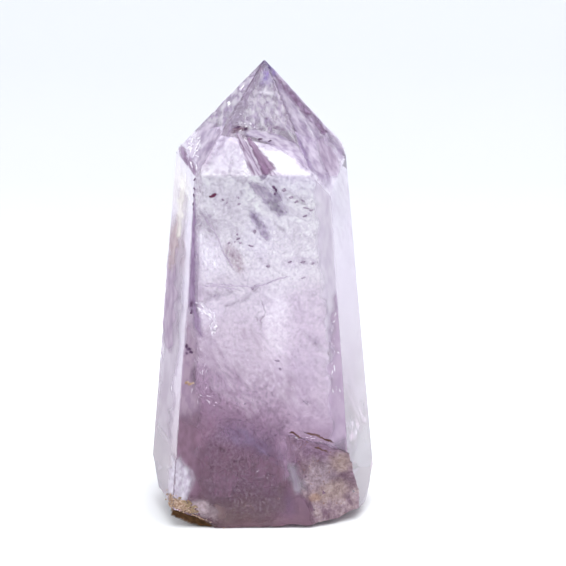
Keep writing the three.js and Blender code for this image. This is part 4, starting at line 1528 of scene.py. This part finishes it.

# %% [markdown]
# The break is mauve where it is fresh, tan and grey where dust sits in it, and ochre where iron has
# stained the corner at the left. Under the raised rim it is umber, partly iron stain and partly
# painted shade. The same patches as on the stone give it those fields.

# %% List the patches of the broken skin
SKIN_PATCHES = [
    ("violet foot of the split", (5.2, -14, 4.0), (3.4, 4.0), -30, (118, 84, 116), 0.8),
    ("left flank", (4.6, -14, 14.6), (2.0, 5.0), -14, (146, 116, 150), 0.95),
    ("violet roof", (9.4, -14, 16.4), (6.2, 3.4), 20, (160, 134, 160), 0.9),
    ("blue-grey finger", (6.9, -14, 10.2), (1.0, 3.6), -32, (172, 168, 180), 0.9),
    ("finger's shade", (8.6, -14, 11.2), (0.8, 2.4), -32, (128, 108, 120), 0.6),
    ("grey field", (11.2, -14, 9.6), (3.4, 3.2), 0, (180, 166, 176), 0.6),
    ("tan field", (15.4, -14, 12.6), (2.6, 2.4), 20, (180, 160, 150), 0.6),
    ("tan foot", (13.6, -14, 6.4), (4.6, 2.2), -12, (182, 164, 156), 0.6),
    ("rust spots", (6.4, -14, 6.4), (1.2, 1.1), 30, (150, 112, 84), 0.7),
    ("rust spots right", (10.0, -14, 5.8), (1.6, 0.8), 0, (176, 142, 114), 0.5),
    ("mauve right", (17.4, -12, 9.0), (1.6, 3.0), 0, (142, 118, 134), 0.6),
    ("pale shelf", (-12.0, -12, 4.2), (3.2, 1.6), 24, (186, 166, 178), 0.8),
    ("ochre stain", (-16.6, -12, 5.0), (2.8, 1.4), 16, (176, 142, 102), 0.95),
    # umber under the raised rim: partly iron stain, partly painted shade of the overhang
    ("umber undercut", (-14.6, -12, 1.6), (6.0, 1.6), 24, (62, 40, 24), 1.0),
]
print(len(SKIN_PATCHES), "patches on the broken skin")

# %% [markdown]
# Over the fields come granules in two sizes, which darken the colour as the mottling of the clear
# stone does, then a few rust spots and a little chalky dust. Low places in the grain are more
# see-through, so the violet stone shows in them.

# %% Make the finish of the broken skin
GROUND_SCALE = 420.0
SKIN_PUSH_SCALE = 500.0
SKIN_PUSH = 0.5
GRANULE_SCALES = (1100.0, 2600.0)
RUST_SCALE = 1700.0
CHALK_SCALE = 2100.0
GROUND = [
    (0.36, screen(130, 106, 122)), (0.5, screen(160, 140, 152)), (0.66, screen(188, 172, 176)),
]
GRANULE_SHARE = 0.5
GRANULES = [(0.0, screen(176, 160, 162)), (0.5, screen(232, 224, 222)), (0.9, (1, 1, 1, 1))]


def make_skin_finish():
    """Matt granular break: mauve quartz with tan, brown and white grains."""
    material, tree, shader = new_material("broken_quartz", {"Roughness": 0.6, "IOR": 1.2})
    place = object_place(tree)
    grains = cloud(tree, place, GROUND_SCALE, 0.0, 1.0, detail=7.0, twist=0.5).outputs["Height"]
    colour = laid_over(tree, pushed(tree, place, SKIN_PUSH_SCALE, SKIN_PUSH),
                       ramp(tree, grains, GROUND), SKIN_PATCHES)
    for scale in GRANULE_SCALES:
        granules = cloud(tree, place, scale, 0.3, 0.7, detail=8.0, twist=0.6)
        tints = ramp(tree, granules.outputs["Mask"], GRANULES)
        colour = blend_colours(tree, GRANULE_SHARE, colour, tints, "MULTIPLY")
    rust = cloud(tree, place, RUST_SCALE, 0.64, 0.74, detail=5.0)
    colour = blend_colours(tree, rust.outputs["Mask"], colour, screen(132, 92, 66))
    chalk = cloud(tree, place, CHALK_SCALE, 0.66, 0.8, detail=5.0, twist=0.4)
    colour = blend_colours(tree, chalk.outputs["Mask"], colour, screen(206, 190, 178))
    density = add(tree, "ShaderNodeAttribute", attribute_name="veil_cover").outputs["Fac"]
    cover = levels(tree, grains, 0.3, 0.6, 0.75, 0.97)
    wire(tree, shader, {"Base Color": colour, "Alpha": calc(tree, "MULTIPLY", cover, density)})
    return material


place_piece("broken_skin", skin, make_skin_finish())
print(skin.materials[0].name, "on the broken skin")
